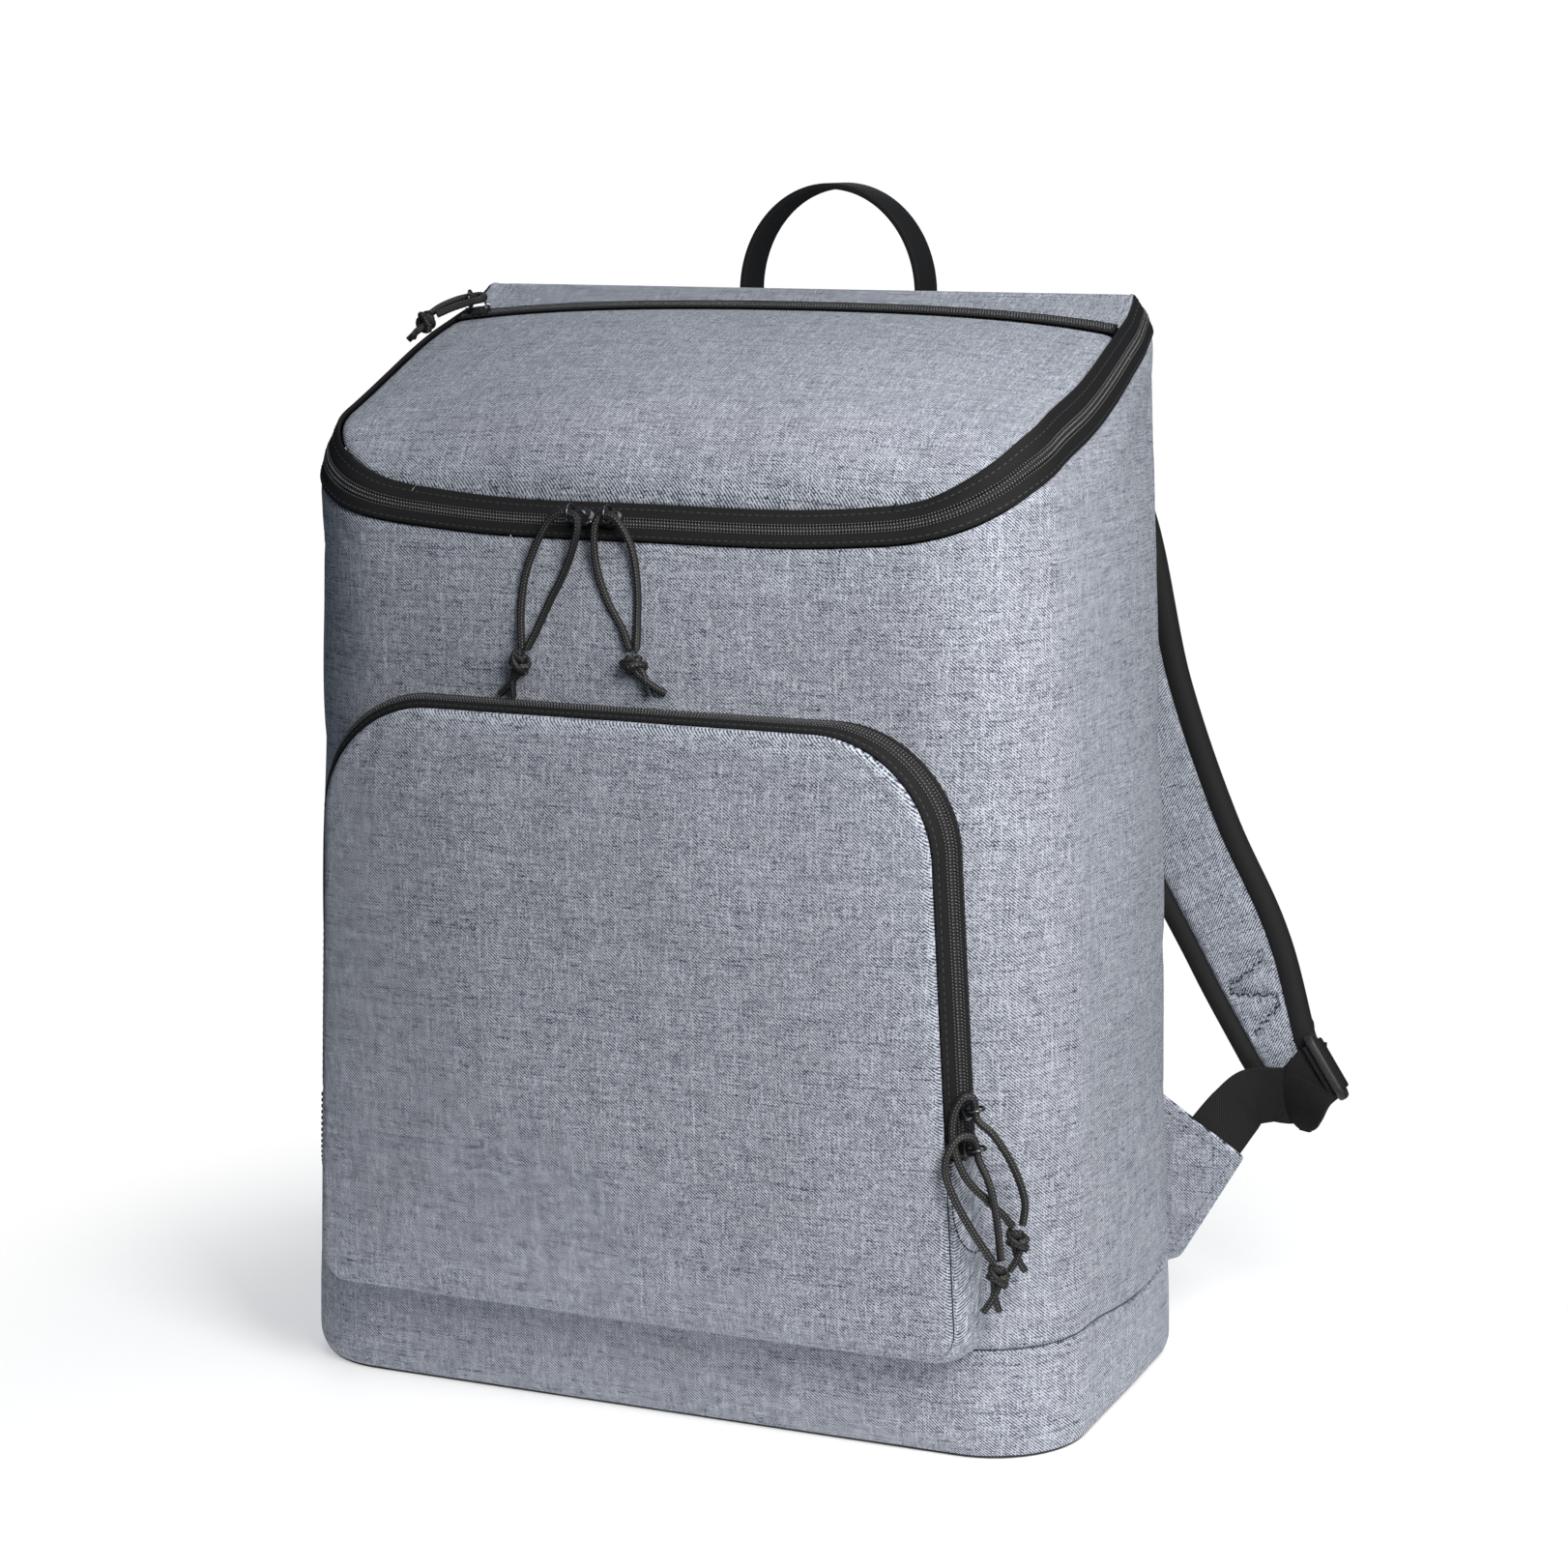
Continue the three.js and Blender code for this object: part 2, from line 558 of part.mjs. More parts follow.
function addBackPanel() {
  const edge = (z) => {
    const share = z / BAG_HEIGHT;
    return mix(BASE_WIDTH, TOP_WIDTH, share) / 2 - mix(BACK_CORNER_BASE, BACK_CORNER_TOP, share) - SEAM_GAP;
  };
  const bottom = BASE_EDGE + SEAM_GAP;
  const panel = (u, v) => {
    const z = mix(bottom, BAG_HEIGHT, v);
    return new THREE.Vector3((1 - 2 * u) * edge(z), BACK_FACE, z);
  };
  addPiece("back_panel", sheetBody(panel, 1, 1, 0, -WALL), "cloth");
}

function addBasePanel() {
  const sides = 34;
  const ring = (inset, z) => {
    const points = [];
    for (let i = 0; i <= sides; i += 1) {
      const place = outline((2 * i) / sides - 1, 0);
      points.push(new THREE.Vector3(place.x - place.outX * inset, place.y - place.outY * inset, z));
    }
    return points;
  };
  const inner = WALL + BASE_ROUND + SEAM_GAP;
  const rings = [
    ring(BASE_INSET, 0),
    ring(BASE_INSET, BASE_EDGE),
    ring(inner, BASE_EDGE),
    ring(inner, BASE_PANEL),
  ];
  addPiece("base_panel", loftBody(rings), "trim");
}

function addLid() {
  const half = LID_ZIP_SHARE / 2;
  const front = (u, v) => {
    const a = 2 * u - 1;
    return lidPoint(a, v * (lidZipPlace(a) - half));
  };
  addPiece("lid_front_panel", sheetBody(front, 16, 10, 0, -LID_WALL), "cloth");
  const back = (u, v) => {
    const a = 2 * u - 1;
    return lidPoint(a, mix(lidZipPlace(a) + half, 1, v));
  };
  addPiece("lid_back_strip", sheetBody(back, 16, 2, 0, -LID_STRIP), "cloth");
}

// The two tapes and the coil of a zip on a strip(u, w), with w from 0 to 1 across it.
function addZip(name, strip, width, steps, [first, second]) {
  const gap = ZIP_GAP / width;
  const coil = ZIP_COIL / width / 2;
  const band = (from, to, high) => stripBody(strip, from, to, -TAPE / 2, high, steps);
  addPiece(name + "_" + first, band(gap, 0.5 - coil - gap, TAPE / 2), "trim");
  addPiece(name + "_coil", band(0.5 - coil, 0.5 + coil, COIL_RISE), "trim");
  addPiece(name + "_" + second, band(0.5 + coil + gap, 1 - gap, TAPE / 2), "trim");
}

function addZips() {
  addZip("main_zip", mainStrip, ZIP_WIDTH, 42, ["lower_tape", "upper_tape"]);
  addZip("lid_zip", lidStrip, LID_ZIP_WIDTH, 20, ["front_tape", "back_tape"]);
  addZip("pocket_zip", pocketStrip, POCKET_DEPTH, 38, ["outer_tape", "inner_tape"]);
}

function addPocket() {
  const panel = (u, v) => {
    const q = mix(RIM_BREAKS[1], RIM_BREAKS[4], v);
    const left = pocketRim(-q, POCKET_TAPER);
    const right = pocketRim(q, POCKET_TAPER);
    const x = mix(left.x, right.x, u);
    const inside = (1 - Math.abs(2 * u - 1) ** 4) * Math.sin(Math.PI * v) ** 0.6;
    return new THREE.Vector3(x, pocketFace(left.z) - SEAM_GAP - POCKET_SWELL * inside, left.z);
  };
  addPiece("pocket_front_panel", sheetBody(panel, 12, 12, POCKET_WALL, 0), "cloth");
  const low = (2 * SEAM_GAP - POCKET_SEAT) / POCKET_DEPTH;
  const high = 1 - ZIP_GAP / POCKET_DEPTH;
  const end = ZIP_END_Q - ZIP_END_CLEAR;
  const gusset = (u, v) => pocketWallPoint(end * (2 * u - 1), mix(low, high, v));
  addPiece("pocket_gusset", sheetBody(gusset, 34, 2, TAPE / 2, -TAPE / 2), "cloth");
}

// A frame on a zip, as a matrix: origin on the coil's crest, y along the zip, z away from the cloth.
function zipFrame(strip, u, w) {
  const step = 1e-3;
  const along = strip(u + step, w).sub(strip(u - step, w)).normalize();
  const across = strip(u, w + step).sub(strip(u, w - step));
  const away = new THREE.Vector3().crossVectors(along, across).normalize();
  const side = new THREE.Vector3().crossVectors(along, away).normalize();
  const origin = strip(u, w).addScaledVector(away, COIL_RISE + SEAM_GAP);
  return new THREE.Matrix4().makeBasis(side, along, away).setPosition(origin);
}

function sliderGeometry() {
  const nose = SLIDER_WIDTH / 2;
  const tail = SLIDER_WIDTH * 0.36;
  const half = SLIDER_LENGTH / 2;
  const plan = new THREE.Shape();
  plan.moveTo(-tail, -half);
  plan.lineTo(tail, -half);
  plan.lineTo(nose, half * 0.35);
  plan.quadraticCurveTo(nose, half, 0, half);
  plan.quadraticCurveTo(-nose, half, -nose, half * 0.35);
  plan.closePath();
  const plate = new THREE.ExtrudeGeometry(plan, {
    depth: SLIDER_HEIGHT,
    bevelEnabled: false,
    curveSegments: 3,
  });
  const foot = BRIDGE_SPAN / 2;
  const low = SLIDER_HEIGHT - 0.3;
  const high = SLIDER_HEIGHT + BRIDGE_RISE;
  const arch = new THREE.Shape();
  arch.moveTo(-foot, low);
  arch.lineTo(-foot, high - BRIDGE_BAR);
  arch.lineTo(-foot + BRIDGE_BAR, high);
  arch.lineTo(foot - BRIDGE_BAR, high);
  arch.lineTo(foot, high - BRIDGE_BAR);
  arch.lineTo(foot, low);
  arch.lineTo(foot - BRIDGE_BAR, low);
  arch.lineTo(foot - BRIDGE_BAR, high - BRIDGE_BAR);
  arch.lineTo(-foot + BRIDGE_BAR, high - BRIDGE_BAR);
  arch.lineTo(-foot + BRIDGE_BAR, low);
  arch.closePath();
  const bridge = new THREE.ExtrudeGeometry(arch, { depth: BRIDGE_WIDTH, bevelEnabled: false });
  // The profile is drawn along the zip and upwards, and extruded across it.
  bridge.applyMatrix4(new THREE.Matrix4().makeBasis(
    new THREE.Vector3(0, 1, 0), new THREE.Vector3(0, 0, 1), new THREE.Vector3(1, 0, 0),
  ));
  bridge.translate(-BRIDGE_WIDTH / 2, 0, 0);
  return geometryOf(solidOf(plate).add(solidOf(bridge)));
}

// Where a bail's ring hangs on its bridge, in the slider's frame: lean turns it from straight out
// towards the frame's side, and slide moves it along the bridge.
function bailPlace(lean, slide) {
  const barHeight = SLIDER_HEIGHT + BRIDGE_RISE - BRIDGE_BAR / 2;
  const barReach = (BRIDGE_BAR * Math.abs(Math.cos(lean)) + BRIDGE_WIDTH * Math.abs(Math.sin(lean))) / 2;
  const reach = BAIL_RADIUS - BAIL_WIRE - barReach - BAIL_CLEARANCE;
  const way = new THREE.Vector3(Math.sin(lean), 0, Math.cos(lean));
  return { centre: way.clone().multiplyScalar(reach).add(new THREE.Vector3(0, slide, barHeight)), way };
}

// A round cord on a smooth curve through chosen points, with a section every `pitch` diameters.
const CORD_PITCH = 2.2;
const TIGHT_PITCH = 1;
function cordGeometry(points, pitch = CORD_PITCH) {
  const curve = new THREE.CatmullRomCurve3(points.map(vector));
  const section = new THREE.Shape();
  const sides = 8;
  for (let i = 0; i < sides; i += 1) {
    const angle = (2 * Math.PI * i) / sides;
    const draw = i ? "lineTo" : "moveTo";
    section[draw]((CORD / 2) * Math.cos(angle), (CORD / 2) * Math.sin(angle));
  }
  section.closePath();
  const steps = Math.round(curve.getLength() / (pitch * CORD));
  return new THREE.ExtrudeGeometry(section, { steps, bevelEnabled: false, extrudePath: curve });
}

// An overhand knot as a lumpy ball, with its two tails fused to it.
function knotGeometry({ at, tails }) {
  const centre = vector(at);
  const hang = vector(tails[0]).add(vector(tails[1])).multiplyScalar(0.5).sub(centre).normalize();
  const turn = new THREE.Quaternion().setFromUnitVectors(new THREE.Vector3(0, 0, -1), hang);
  const ball = new THREE.IcosahedronGeometry(0.5, 1);
  ball.scale(KNOT_WIDTH, KNOT_WIDTH, KNOT_LENGTH).applyQuaternion(turn).translate(...at);
  let knot = solidOf(ball);
  for (const tail of tails) {
    const end = vector(tail);
    const start = centre.clone().lerp(end, 0.15);
    const bend = start.clone().lerp(end, 0.5).add(new THREE.Vector3(0, -0.5, 0));
    knot = knot.add(solidOf(cordGeometry([start.toArray(), bend.toArray(), tail])));
  }
  return geometryOf(knot);
}

// Slider, bail, pull cord and knot of one zip pull.
function addPull(name, frame, lean, slide, pitch) {
  const slider = sliderGeometry().applyMatrix4(frame);
  addPiece("slider_" + name, slider, "plastic");
  const { centre, way } = bailPlace(lean, slide);
  const ring = new THREE.TorusGeometry(BAIL_RADIUS, BAIL_WIRE, 6, 12);
  const across = new THREE.Vector3(0, 1, 0);
  const level = new THREE.Vector3().crossVectors(across, way);
  ring.applyMatrix4(new THREE.Matrix4().makeBasis(way, level, across));
  ring.translate(centre.x, centre.y, centre.z).applyMatrix4(frame);
  addPiece("bail_" + name, ring, "wire");
  addPiece("pull_cord_" + name, cordGeometry(PULL_ROUTES[name], pitch), "trim");
  addPiece("pull_knot_" + name, knotGeometry(KNOTS[name]), "trim");
}

// Places of the sliders: u along the zip's strip, lean and slide of the bail.
const MAIN_SLIDERS = { left: 0.4625, right: 0.481 };
const POCKET_SLIDERS = { upper: 0.032, lower: 0.007 };
const LID_SLIDER = 0.022;

function addPulls() {
  addPull("main_left", zipFrame(mainStrip, MAIN_SLIDERS.left, 0.5), BAIL_LEAN, -BAIL_SLIDE);
  addPull("main_right", zipFrame(mainStrip, MAIN_SLIDERS.right, 0.5), BAIL_LEAN, BAIL_SLIDE);
  addPull("pocket_upper", zipFrame(pocketStrip, POCKET_SLIDERS.upper, 0.5), -BAIL_LEAN, 0);
  addPull("pocket_lower", zipFrame(pocketStrip, POCKET_SLIDERS.lower, 0.5), -BAIL_LEAN, 0);
  addPull("lid", zipFrame(lidStrip, LID_SLIDER, 0.5), BAIL_LEAN, -BAIL_SLIDE, TIGHT_PITCH);
}

// The carry handle: a loop of webbing behind the top edge, edge on to the front, whose ends turn
// flat against the back panel. The loop takes HANDLE_LOOP of each half of the webbing, and its leg
// is flat after HANDLE_TURNED of its length.
const HANDLE_LOOP = 0.72;
const HANDLE_TURNED = 0.8;
function addHandle() {
  const steps = 26;
  const legFoot = BAG_HEIGHT - HANDLE_FOOT;
  const legTop = BAG_HEIGHT - HANDLE_TUCK;
  const stations = [];
  for (let i = 0; i <= steps; i += 1) {
    const share = (2 * i) / steps - 1;
    const at = Math.abs(share);
    const loop = Math.min(at / HANDLE_LOOP, 1);
    const leg = Math.max((at - HANDLE_LOOP) / (1 - HANDLE_LOOP), 0);
    const turn = (Math.PI / 2) * loop;
    const half = HANDLE_SPAN / 2;
    const hand = Math.sign(share) || 1;
    const x = HANDLE_SHIFT * (1 - leg) + hand * half * Math.sin(turn);
    const z = legTop + (HANDLE_RISE + HANDLE_TUCK) * Math.cos(turn) - leg * (legTop - legFoot);
    const twist = (Math.PI / 2) * Math.min(leg / HANDLE_TURNED, 1);
    const reach = HANDLE_WEB * Math.abs(Math.cos(twist)) + HANDLE_THICK * Math.abs(Math.sin(twist));
    const away = reach / 2 + 2 * SEAM_GAP;
    stations.push({ x, z, away, twist, hand });
  }
  const middles = stations.map(({ x, z, away }) => new THREE.Vector3(x, BACK_FACE + away, z));
  const bands = stations.map(({ twist, hand }, i) => {
    const before = middles[Math.max(i - 1, 0)];
    const after = middles[Math.min(i + 1, steps)];
    const tangent = after.clone().sub(before).normalize();
    const flat = new THREE.Vector3(0, 1, 0);
    const outward = new THREE.Vector3().crossVectors(tangent, flat).normalize();
    const side = flat.multiplyScalar(Math.cos(twist)).addScaledVector(outward, -hand * Math.sin(twist));
    side.addScaledVector(tangent, -side.dot(tangent)).normalize();
    const face = new THREE.Vector3().crossVectors(tangent, side);
    return {
      middle: middles[i],
      side: side.multiplyScalar(HANDLE_WEB / 2),
      face: face.multiplyScalar(HANDLE_THICK / 2),
    };
  });
  addPiece("carry_handle", bandBody(bands), "trim");
}

// Stations of a strap on one hand, 1 right and -1 left.
function strapStations(hand, steps) {
  const rows = STRAP_LINE.map((row) => new THREE.Vector3(
    (hand * row.out * BASE_WIDTH) / 2,
    BACK_FACE + SEAM_GAP + STRAP_PAD / 2 + BINDING_PROUD + row.bow * STRAP_BOW,
    row.up * BAG_HEIGHT,
  ));
  const curve = new THREE.CatmullRomCurve3(rows);
  const stations = [];
  for (let i = 0; i <= steps; i += 1) {
    const down = i / steps;
    const tangent = curve.getTangentAt(down);
    const side = new THREE.Vector3(hand, 0, 0);
    side.addScaledVector(tangent, -side.dot(tangent)).normalize();
    const face = new THREE.Vector3().crossVectors(tangent, side).normalize();
    const width = STRAP_WIDTH * tableValue(STRAP_LINE, "down", "width", down);
    stations.push({ middle: curve.getPointAt(down), side, face, width });
  }
  return stations;
}

function addStrap(hand, name) {
  const stations = strapStations(hand, 20);
  const pad = stations.map(({ middle, side, face, width }) => ({
    middle,
    side: side.clone().multiplyScalar(width / 2 - BINDING - BINDING_GAP),
    face: face.clone().multiplyScalar(STRAP_PAD / 2),
  }));
  addPiece("strap_pad_" + name, bandBody(pad), "cloth");
  for (const [edge, way] of [["outer", 1], ["inner", -1]]) {
    const binding = stations.map(({ middle, side, face, width }) => ({
      middle: middle.clone().addScaledVector(side, way * (width - BINDING) / 2),
      side: side.clone().multiplyScalar(BINDING / 2),
      face: face.clone().multiplyScalar(STRAP_PAD / 2 + BINDING_PROUD),
    }));
    addPiece("strap_binding_" + edge + "_" + name, bandBody(binding), "trim");
  }
}

const mirrored = (list, hand) => [hand * list[0], list[1], list[2]];
const strapPlace = ([out, behind, up], hand) =>
  [(hand * out * BASE_WIDTH) / 2, BACK_FACE + behind, up * BAG_HEIGHT];

// The ladder buckle: a frame with three bars across the webbing.
function buckleGeometry(hand) {
  const half = BUCKLE_WIDTH / 2;
  const frame = new THREE.Shape();
  frame.moveTo(-half, -BUCKLE_LENGTH / 2);
  frame.lineTo(half, -BUCKLE_LENGTH / 2);
  frame.lineTo(half, BUCKLE_LENGTH / 2);
  frame.lineTo(-half, BUCKLE_LENGTH / 2);
  frame.closePath();
  const slot = (BUCKLE_LENGTH - 3 * BUCKLE_BAR) / 2;
  const inner = half - BUCKLE_BAR;
  for (const start of [-BUCKLE_LENGTH / 2 + BUCKLE_BAR, BUCKLE_BAR / 2]) {
    const hole = new THREE.Path();
    hole.moveTo(-inner, start);
    hole.lineTo(-inner, start + slot);
    hole.lineTo(inner, start + slot);
    hole.lineTo(inner, start);
    hole.closePath();
    frame.holes.push(hole);
  }
  const geometry = new THREE.ExtrudeGeometry(frame, { depth: BUCKLE_THICK, bevelEnabled: false });
  geometry.translate(0, 0, -BUCKLE_THICK / 2);
  const across = vector(mirrored(BUCKLE_ACROSS, hand)).normalize();
  const along = vector(mirrored(BUCKLE_ALONG, hand));
  along.addScaledVector(across, -along.dot(across)).normalize();
  const face = new THREE.Vector3().crossVectors(across, along);
  const matrix = new THREE.Matrix4().makeBasis(across, along, face);
  return geometry.applyMatrix4(matrix).translate(...strapPlace(BUCKLE_AT, hand));
}

function addStrapEnds(hand, name) {
  addPiece("strap_buckle_" + name, buckleGeometry(hand), "plastic");
  const turned = (rows) => rows.map((row) => ({
    at: strapPlace(row.at, hand),
    across: mirrored(row.across, hand),
  }));
  addPiece("lower_webbing_" + name, webbingBody(turned(LOWER_WEB), WEB_WIDTH, WEB_THICK, 14), "trim");
  addPiece("webbing_tail_" + name, webbingBody(turned(WEB_TAIL), WEB_WIDTH, WEB_THICK, 6), "trim");
  const near = BACK_FACE + SEAM_GAP;
  const outlineAt = (y) => WING_CORNERS.map(({ out, up }) => (
    new THREE.Vector3((hand * out * BASE_WIDTH) / 2, y, up * BAG_HEIGHT)
  ));
  addPiece("strap_wing_" + name, loftBody([outlineAt(near), outlineAt(near + WING_THICK)]), "cloth");
}

addBody();
addBackPanel();
addBasePanel();
addLid();
addZips();
addPocket();
addPulls();
addHandle();
for (const [hand, name] of [[1, "right"], [-1, "left"]]) {
  addStrap(hand, name);
  addStrapEnds(hand, name);
}

const bag = new THREE.Group();
for (const { name, geometry, finish } of pieces) {
  const mesh = new THREE.Mesh(geometry, new THREE.MeshStandardMaterial(COLOURS[finish]));
  mesh.name = name;
  bag.add(mesh);
}

export default bag;
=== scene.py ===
# A soft cooler backpack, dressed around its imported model: melange cloth, zips with coil teeth,
# braided pull cords with knots, webbing, bindings and ladder buckles.
import math

import bpy
from bpy.props import FloatProperty, FloatVectorProperty, PointerProperty
from mathutils import Matrix, Vector, noise


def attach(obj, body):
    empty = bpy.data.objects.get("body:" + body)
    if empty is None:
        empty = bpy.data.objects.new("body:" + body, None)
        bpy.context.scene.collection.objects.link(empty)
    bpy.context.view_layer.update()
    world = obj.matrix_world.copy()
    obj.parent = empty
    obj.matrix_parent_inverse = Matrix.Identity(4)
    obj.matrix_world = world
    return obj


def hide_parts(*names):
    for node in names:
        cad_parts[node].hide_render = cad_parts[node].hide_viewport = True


bl_info = {
    "name": "Cooler backpack",
    "version": (1, 0, 0),
    "blender": (4, 5, 0),
    "location": "View3D > Sidebar > Backpack",
    "description": "Dresses the packed model of a soft cooler backpack",
    "category": "Object",
}

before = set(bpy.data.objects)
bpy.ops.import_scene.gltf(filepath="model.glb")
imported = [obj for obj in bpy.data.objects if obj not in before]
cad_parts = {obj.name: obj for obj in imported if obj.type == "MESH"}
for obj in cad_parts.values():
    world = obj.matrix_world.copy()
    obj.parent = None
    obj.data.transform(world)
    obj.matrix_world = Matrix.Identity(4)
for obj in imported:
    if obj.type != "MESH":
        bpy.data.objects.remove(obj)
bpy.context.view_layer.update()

MM = 0.001
BODY = "root"

# Sizes of the bag in millimetres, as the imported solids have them
BAG_HEIGHT = 440
FRONT_HEIGHT = 357
BASE_WIDTH = 340
TOP_WIDTH = 308
BASE_DEPTH = 163
TOP_DEPTH = 172
BACK_FACE = 83
FRONT_CORNER = 42
BACK_CORNER_BASE = 22
BACK_CORNER_TOP = 12
WALL = 6
FRONT_SWELL = 4
SIDE_SWELL = 3
SEAM_GAP = 0.3
ZIP_GAP = 0.5
BASE_BAND = 44
BASE_PANEL = 5
BASE_EDGE = 1.2
BASE_INSET = 3.5
BASE_ROUND = 2.5
ZIP_WIDTH = 20
ZIP_COIL = 4
TAPE = 1.4
COIL_RISE = 1
LID_WALL = 3.5
LID_STRIP = 2.2
LID_CROWN = 11
LID_ZIP_WIDTH = 11
LID_ZIP_REACH = 0.995
LID_SEAT = 1.7
LID_BACK_REACH = 4
LID_START = 0.32
LID_END = 0.945
LID_ZIP_MIDDLE = 0.93
LID_ZIP_SIDES = 0.06
TUCK_CURVE = 1.3
POCKET_CENTRE = -3
POCKET_BASE_WIDTH = 286
POCKET_TOP_WIDTH = 270
POCKET_BOTTOM = 43
POCKET_TOP = 286
POCKET_DEPTH = 15.5
POCKET_TAPER = 6
POCKET_TOP_CORNER = 48
POCKET_BOTTOM_CORNER = 12
POCKET_SWELL = 5
POCKET_WALL = 3
POCKET_SEAT = 1.2
POCKET_BULGE = 1.6
POCKET_ZIP_END = 125
CORNER_REACH = 0.9
SLIDER_LENGTH = 11
SLIDER_WIDTH = 8
SLIDER_HEIGHT = 2.4
BRIDGE_WIDTH = 1.2
BRIDGE_SPAN = 8
BRIDGE_RISE = 3.6
BRIDGE_BAR = 0.9
BAIL_RADIUS = 3.4
BAIL_WIRE = 0.55
BAIL_CLEARANCE = 0.15
BAIL_LEAN = 1.05
BAIL_SLIDE = 2
CORD = 3
HANDLE_SPAN = 80
HANDLE_RISE = 43
HANDLE_SHIFT = 8
HANDLE_FOOT = 34
HANDLE_TUCK = 2
HANDLE_WEB = 21
HANDLE_THICK = 2.6
HANDLE_LOOP = 0.72
HANDLE_TURNED = 0.8
STRAP_WIDTH = 58
STRAP_PAD = 10
STRAP_BOW = 38
BINDING = 8
BINDING_PROUD = 0.5
BINDING_GAP = 0.7
WEB_WIDTH = 25
WEB_THICK = 1.6
WING_THICK = 3.5
BUCKLE_WIDTH = 31
BUCKLE_LENGTH = 17
BUCKLE_BAR = 3.4
BUCKLE_THICK = 4

# What the scene adds to the solids, in millimetres, and the tuck as a share of the zip's width
PAD_EXTRA = 13
LID_HEM = 1.8
LID_STRIP_EXTRA = 2.4
TAPE_TUCK = 0.065
SEAM_HOLD = 7

# The photograph's camera: turn and tilt in degrees, place in metres, lens in millimetres and its shift as
# a share of the frame
CAMERA_TURN = 22.3
CAMERA_TILT = 8.3
CAMERA_PLACE = (0.5818, -1.2911, 0.505)
CAMERA_LENS = 80.65
CAMERA_SHIFT = (-0.0424, -0.0882)

# Height of the seam above the base band: place from the front centre to the back corner, share of
# BASE_BAND.
BASE_SEAM = [
    (0, 0.98), (0.45, 1), (0.62, 0.99), (0.74, 0.9), (0.84, 0.87), (0.91, 0.98), (0.96, 1.2), (1, 1.4),
]

# The main zip: place, rise on the right, rise on the left, half its height, tuck of its upper edge.
ZIP_LINE = [
    (0, 0, 0, 0.31, 0.55),
    (0.19, 0, 0, 0.31, 0.55),
    (0.32, 0.035, 0.035, 0.33, 0.52),
    (0.374, 0.075, 0.068, 0.36, 0.48),
    (0.42, 0.135, 0.115, 0.4, 0.42),
    (0.463, 0.21, 0.175, 0.43, 0.36),
    (0.514, 0.31, 0.255, 0.46, 0.31),
    (0.575, 0.395, 0.33, 0.47, 0.27),
    (0.677, 0.5, 0.475, 0.465, 0.25),
    (0.78, 0.636, 0.63, 0.465, 0.25),
    (0.853, 0.733, 0.73, 0.43, 0.27),
    (0.907, 0.807, 0.807, 0.4, 0.3),
    (0.952, 0.905, 0.905, 0.37, 0.36),
    (1, 0.925, 0.925, 0.31, 0.44),
]

# Middle line of a shoulder strap: place, out, up, bow, width.
STRAP_LINE = [
    (0, 0.525, 0.968, 0, 0.97),
    (0.08, 0.53, 0.918, 0.08, 1),
    (0.18, 0.575, 0.862, 0.42, 0.97),
    (0.32, 0.67, 0.784, 0.74, 0.93),
    (0.55, 0.778, 0.612, 0.88, 0.87),
    (0.74, 0.92, 0.473, 0.9, 0.81),
    (0.88, 1.06, 0.378, 0.78, 0.75),
    (1, 1.185, 0.28, 0.6, 0.57),
]

# Routes of the pull cords, from the knot up one leg, through the bail and down to the knot.
PULL_ROUTES = {
    "main_left": [
        (-46.8, -94, 307.4), (-47.6, -92.8, 320), (-45.6, -92.4, 336), (-39.4, -93, 350.4),
        (-33.4, -93.8, 359), (-29, -93.8, 361.2), (-25.8, -93.6, 360.8), (-23, -93.8, 360),
        (-21.8, -94.6, 356.4), (-23.4, -94.4, 349.4), (-28, -93, 339), (-35, -92.4, 326.5),
        (-41.6, -93.2, 313), (-44.4, -94.2, 307.6),
    ],
    "main_right": [
        (0, -94.4, 309.6), (-4.4, -92.8, 318), (-10.5, -92.4, 328), (-14.8, -92.8, 341),
        (-15.2, -94, 352), (-14.2, -94.2, 358), (-12.4, -93.6, 360.4), (-10.1, -93.4, 360.8),
        (-7.6, -93.6, 360.6), (-3.8, -94, 357.4), (0.4, -93.2, 348.6), (2.4, -92.6, 334),
        (2.4, -92.8, 320), (2.6, -94.4, 309.8),
    ],
    "pocket_upper": [
        (154, -87.4, 98), (151.4, -89.8, 102.6), (145.8, -95, 110), (139.5, -99, 118.5),
        (136, -100.4, 127.5), (134.6, -100.2, 138), (136, -100, 145.4), (138.8, -98.8, 149.4),
        (141.4, -96.4, 148.6), (141.8, -95.5, 144.4), (142.6, -95.4, 140.4), (147.6, -93, 135),
        (154.4, -88, 121.4), (158, -84.8, 107), (157.4, -85.6, 98.4),
    ],
    "pocket_lower": [
        (150.2, -97.6, 86.4), (143.4, -101.6, 98.6), (136.8, -104.4, 112), (133.6, -105.2, 122),
        (135, -105, 130), (138.4, -101.6, 134.8), (141.6, -97, 133.4), (142.3, -95.3, 129),
        (143.2, -95.2, 124.8), (147.4, -96, 117), (150.4, -96, 105), (152.4, -95.6, 87),
    ],
    "lid": [
        (-154, 30.6, 428.8), (-151.6, 36.2, 431.8), (-147.2, 41.8, 434.4), (-144, 44, 435.4),
        (-141.3, 45.1, 435.9), (-138.6, 45.9, 436.3), (-135.9, 45, 436.2), (-134.6, 42.6, 435.4),
        (-135.7, 40.2, 434.6), (-139.2, 38.2, 433.6), (-145.2, 34.6, 431.4), (-150.4, 30.2, 428.6),
    ],
}

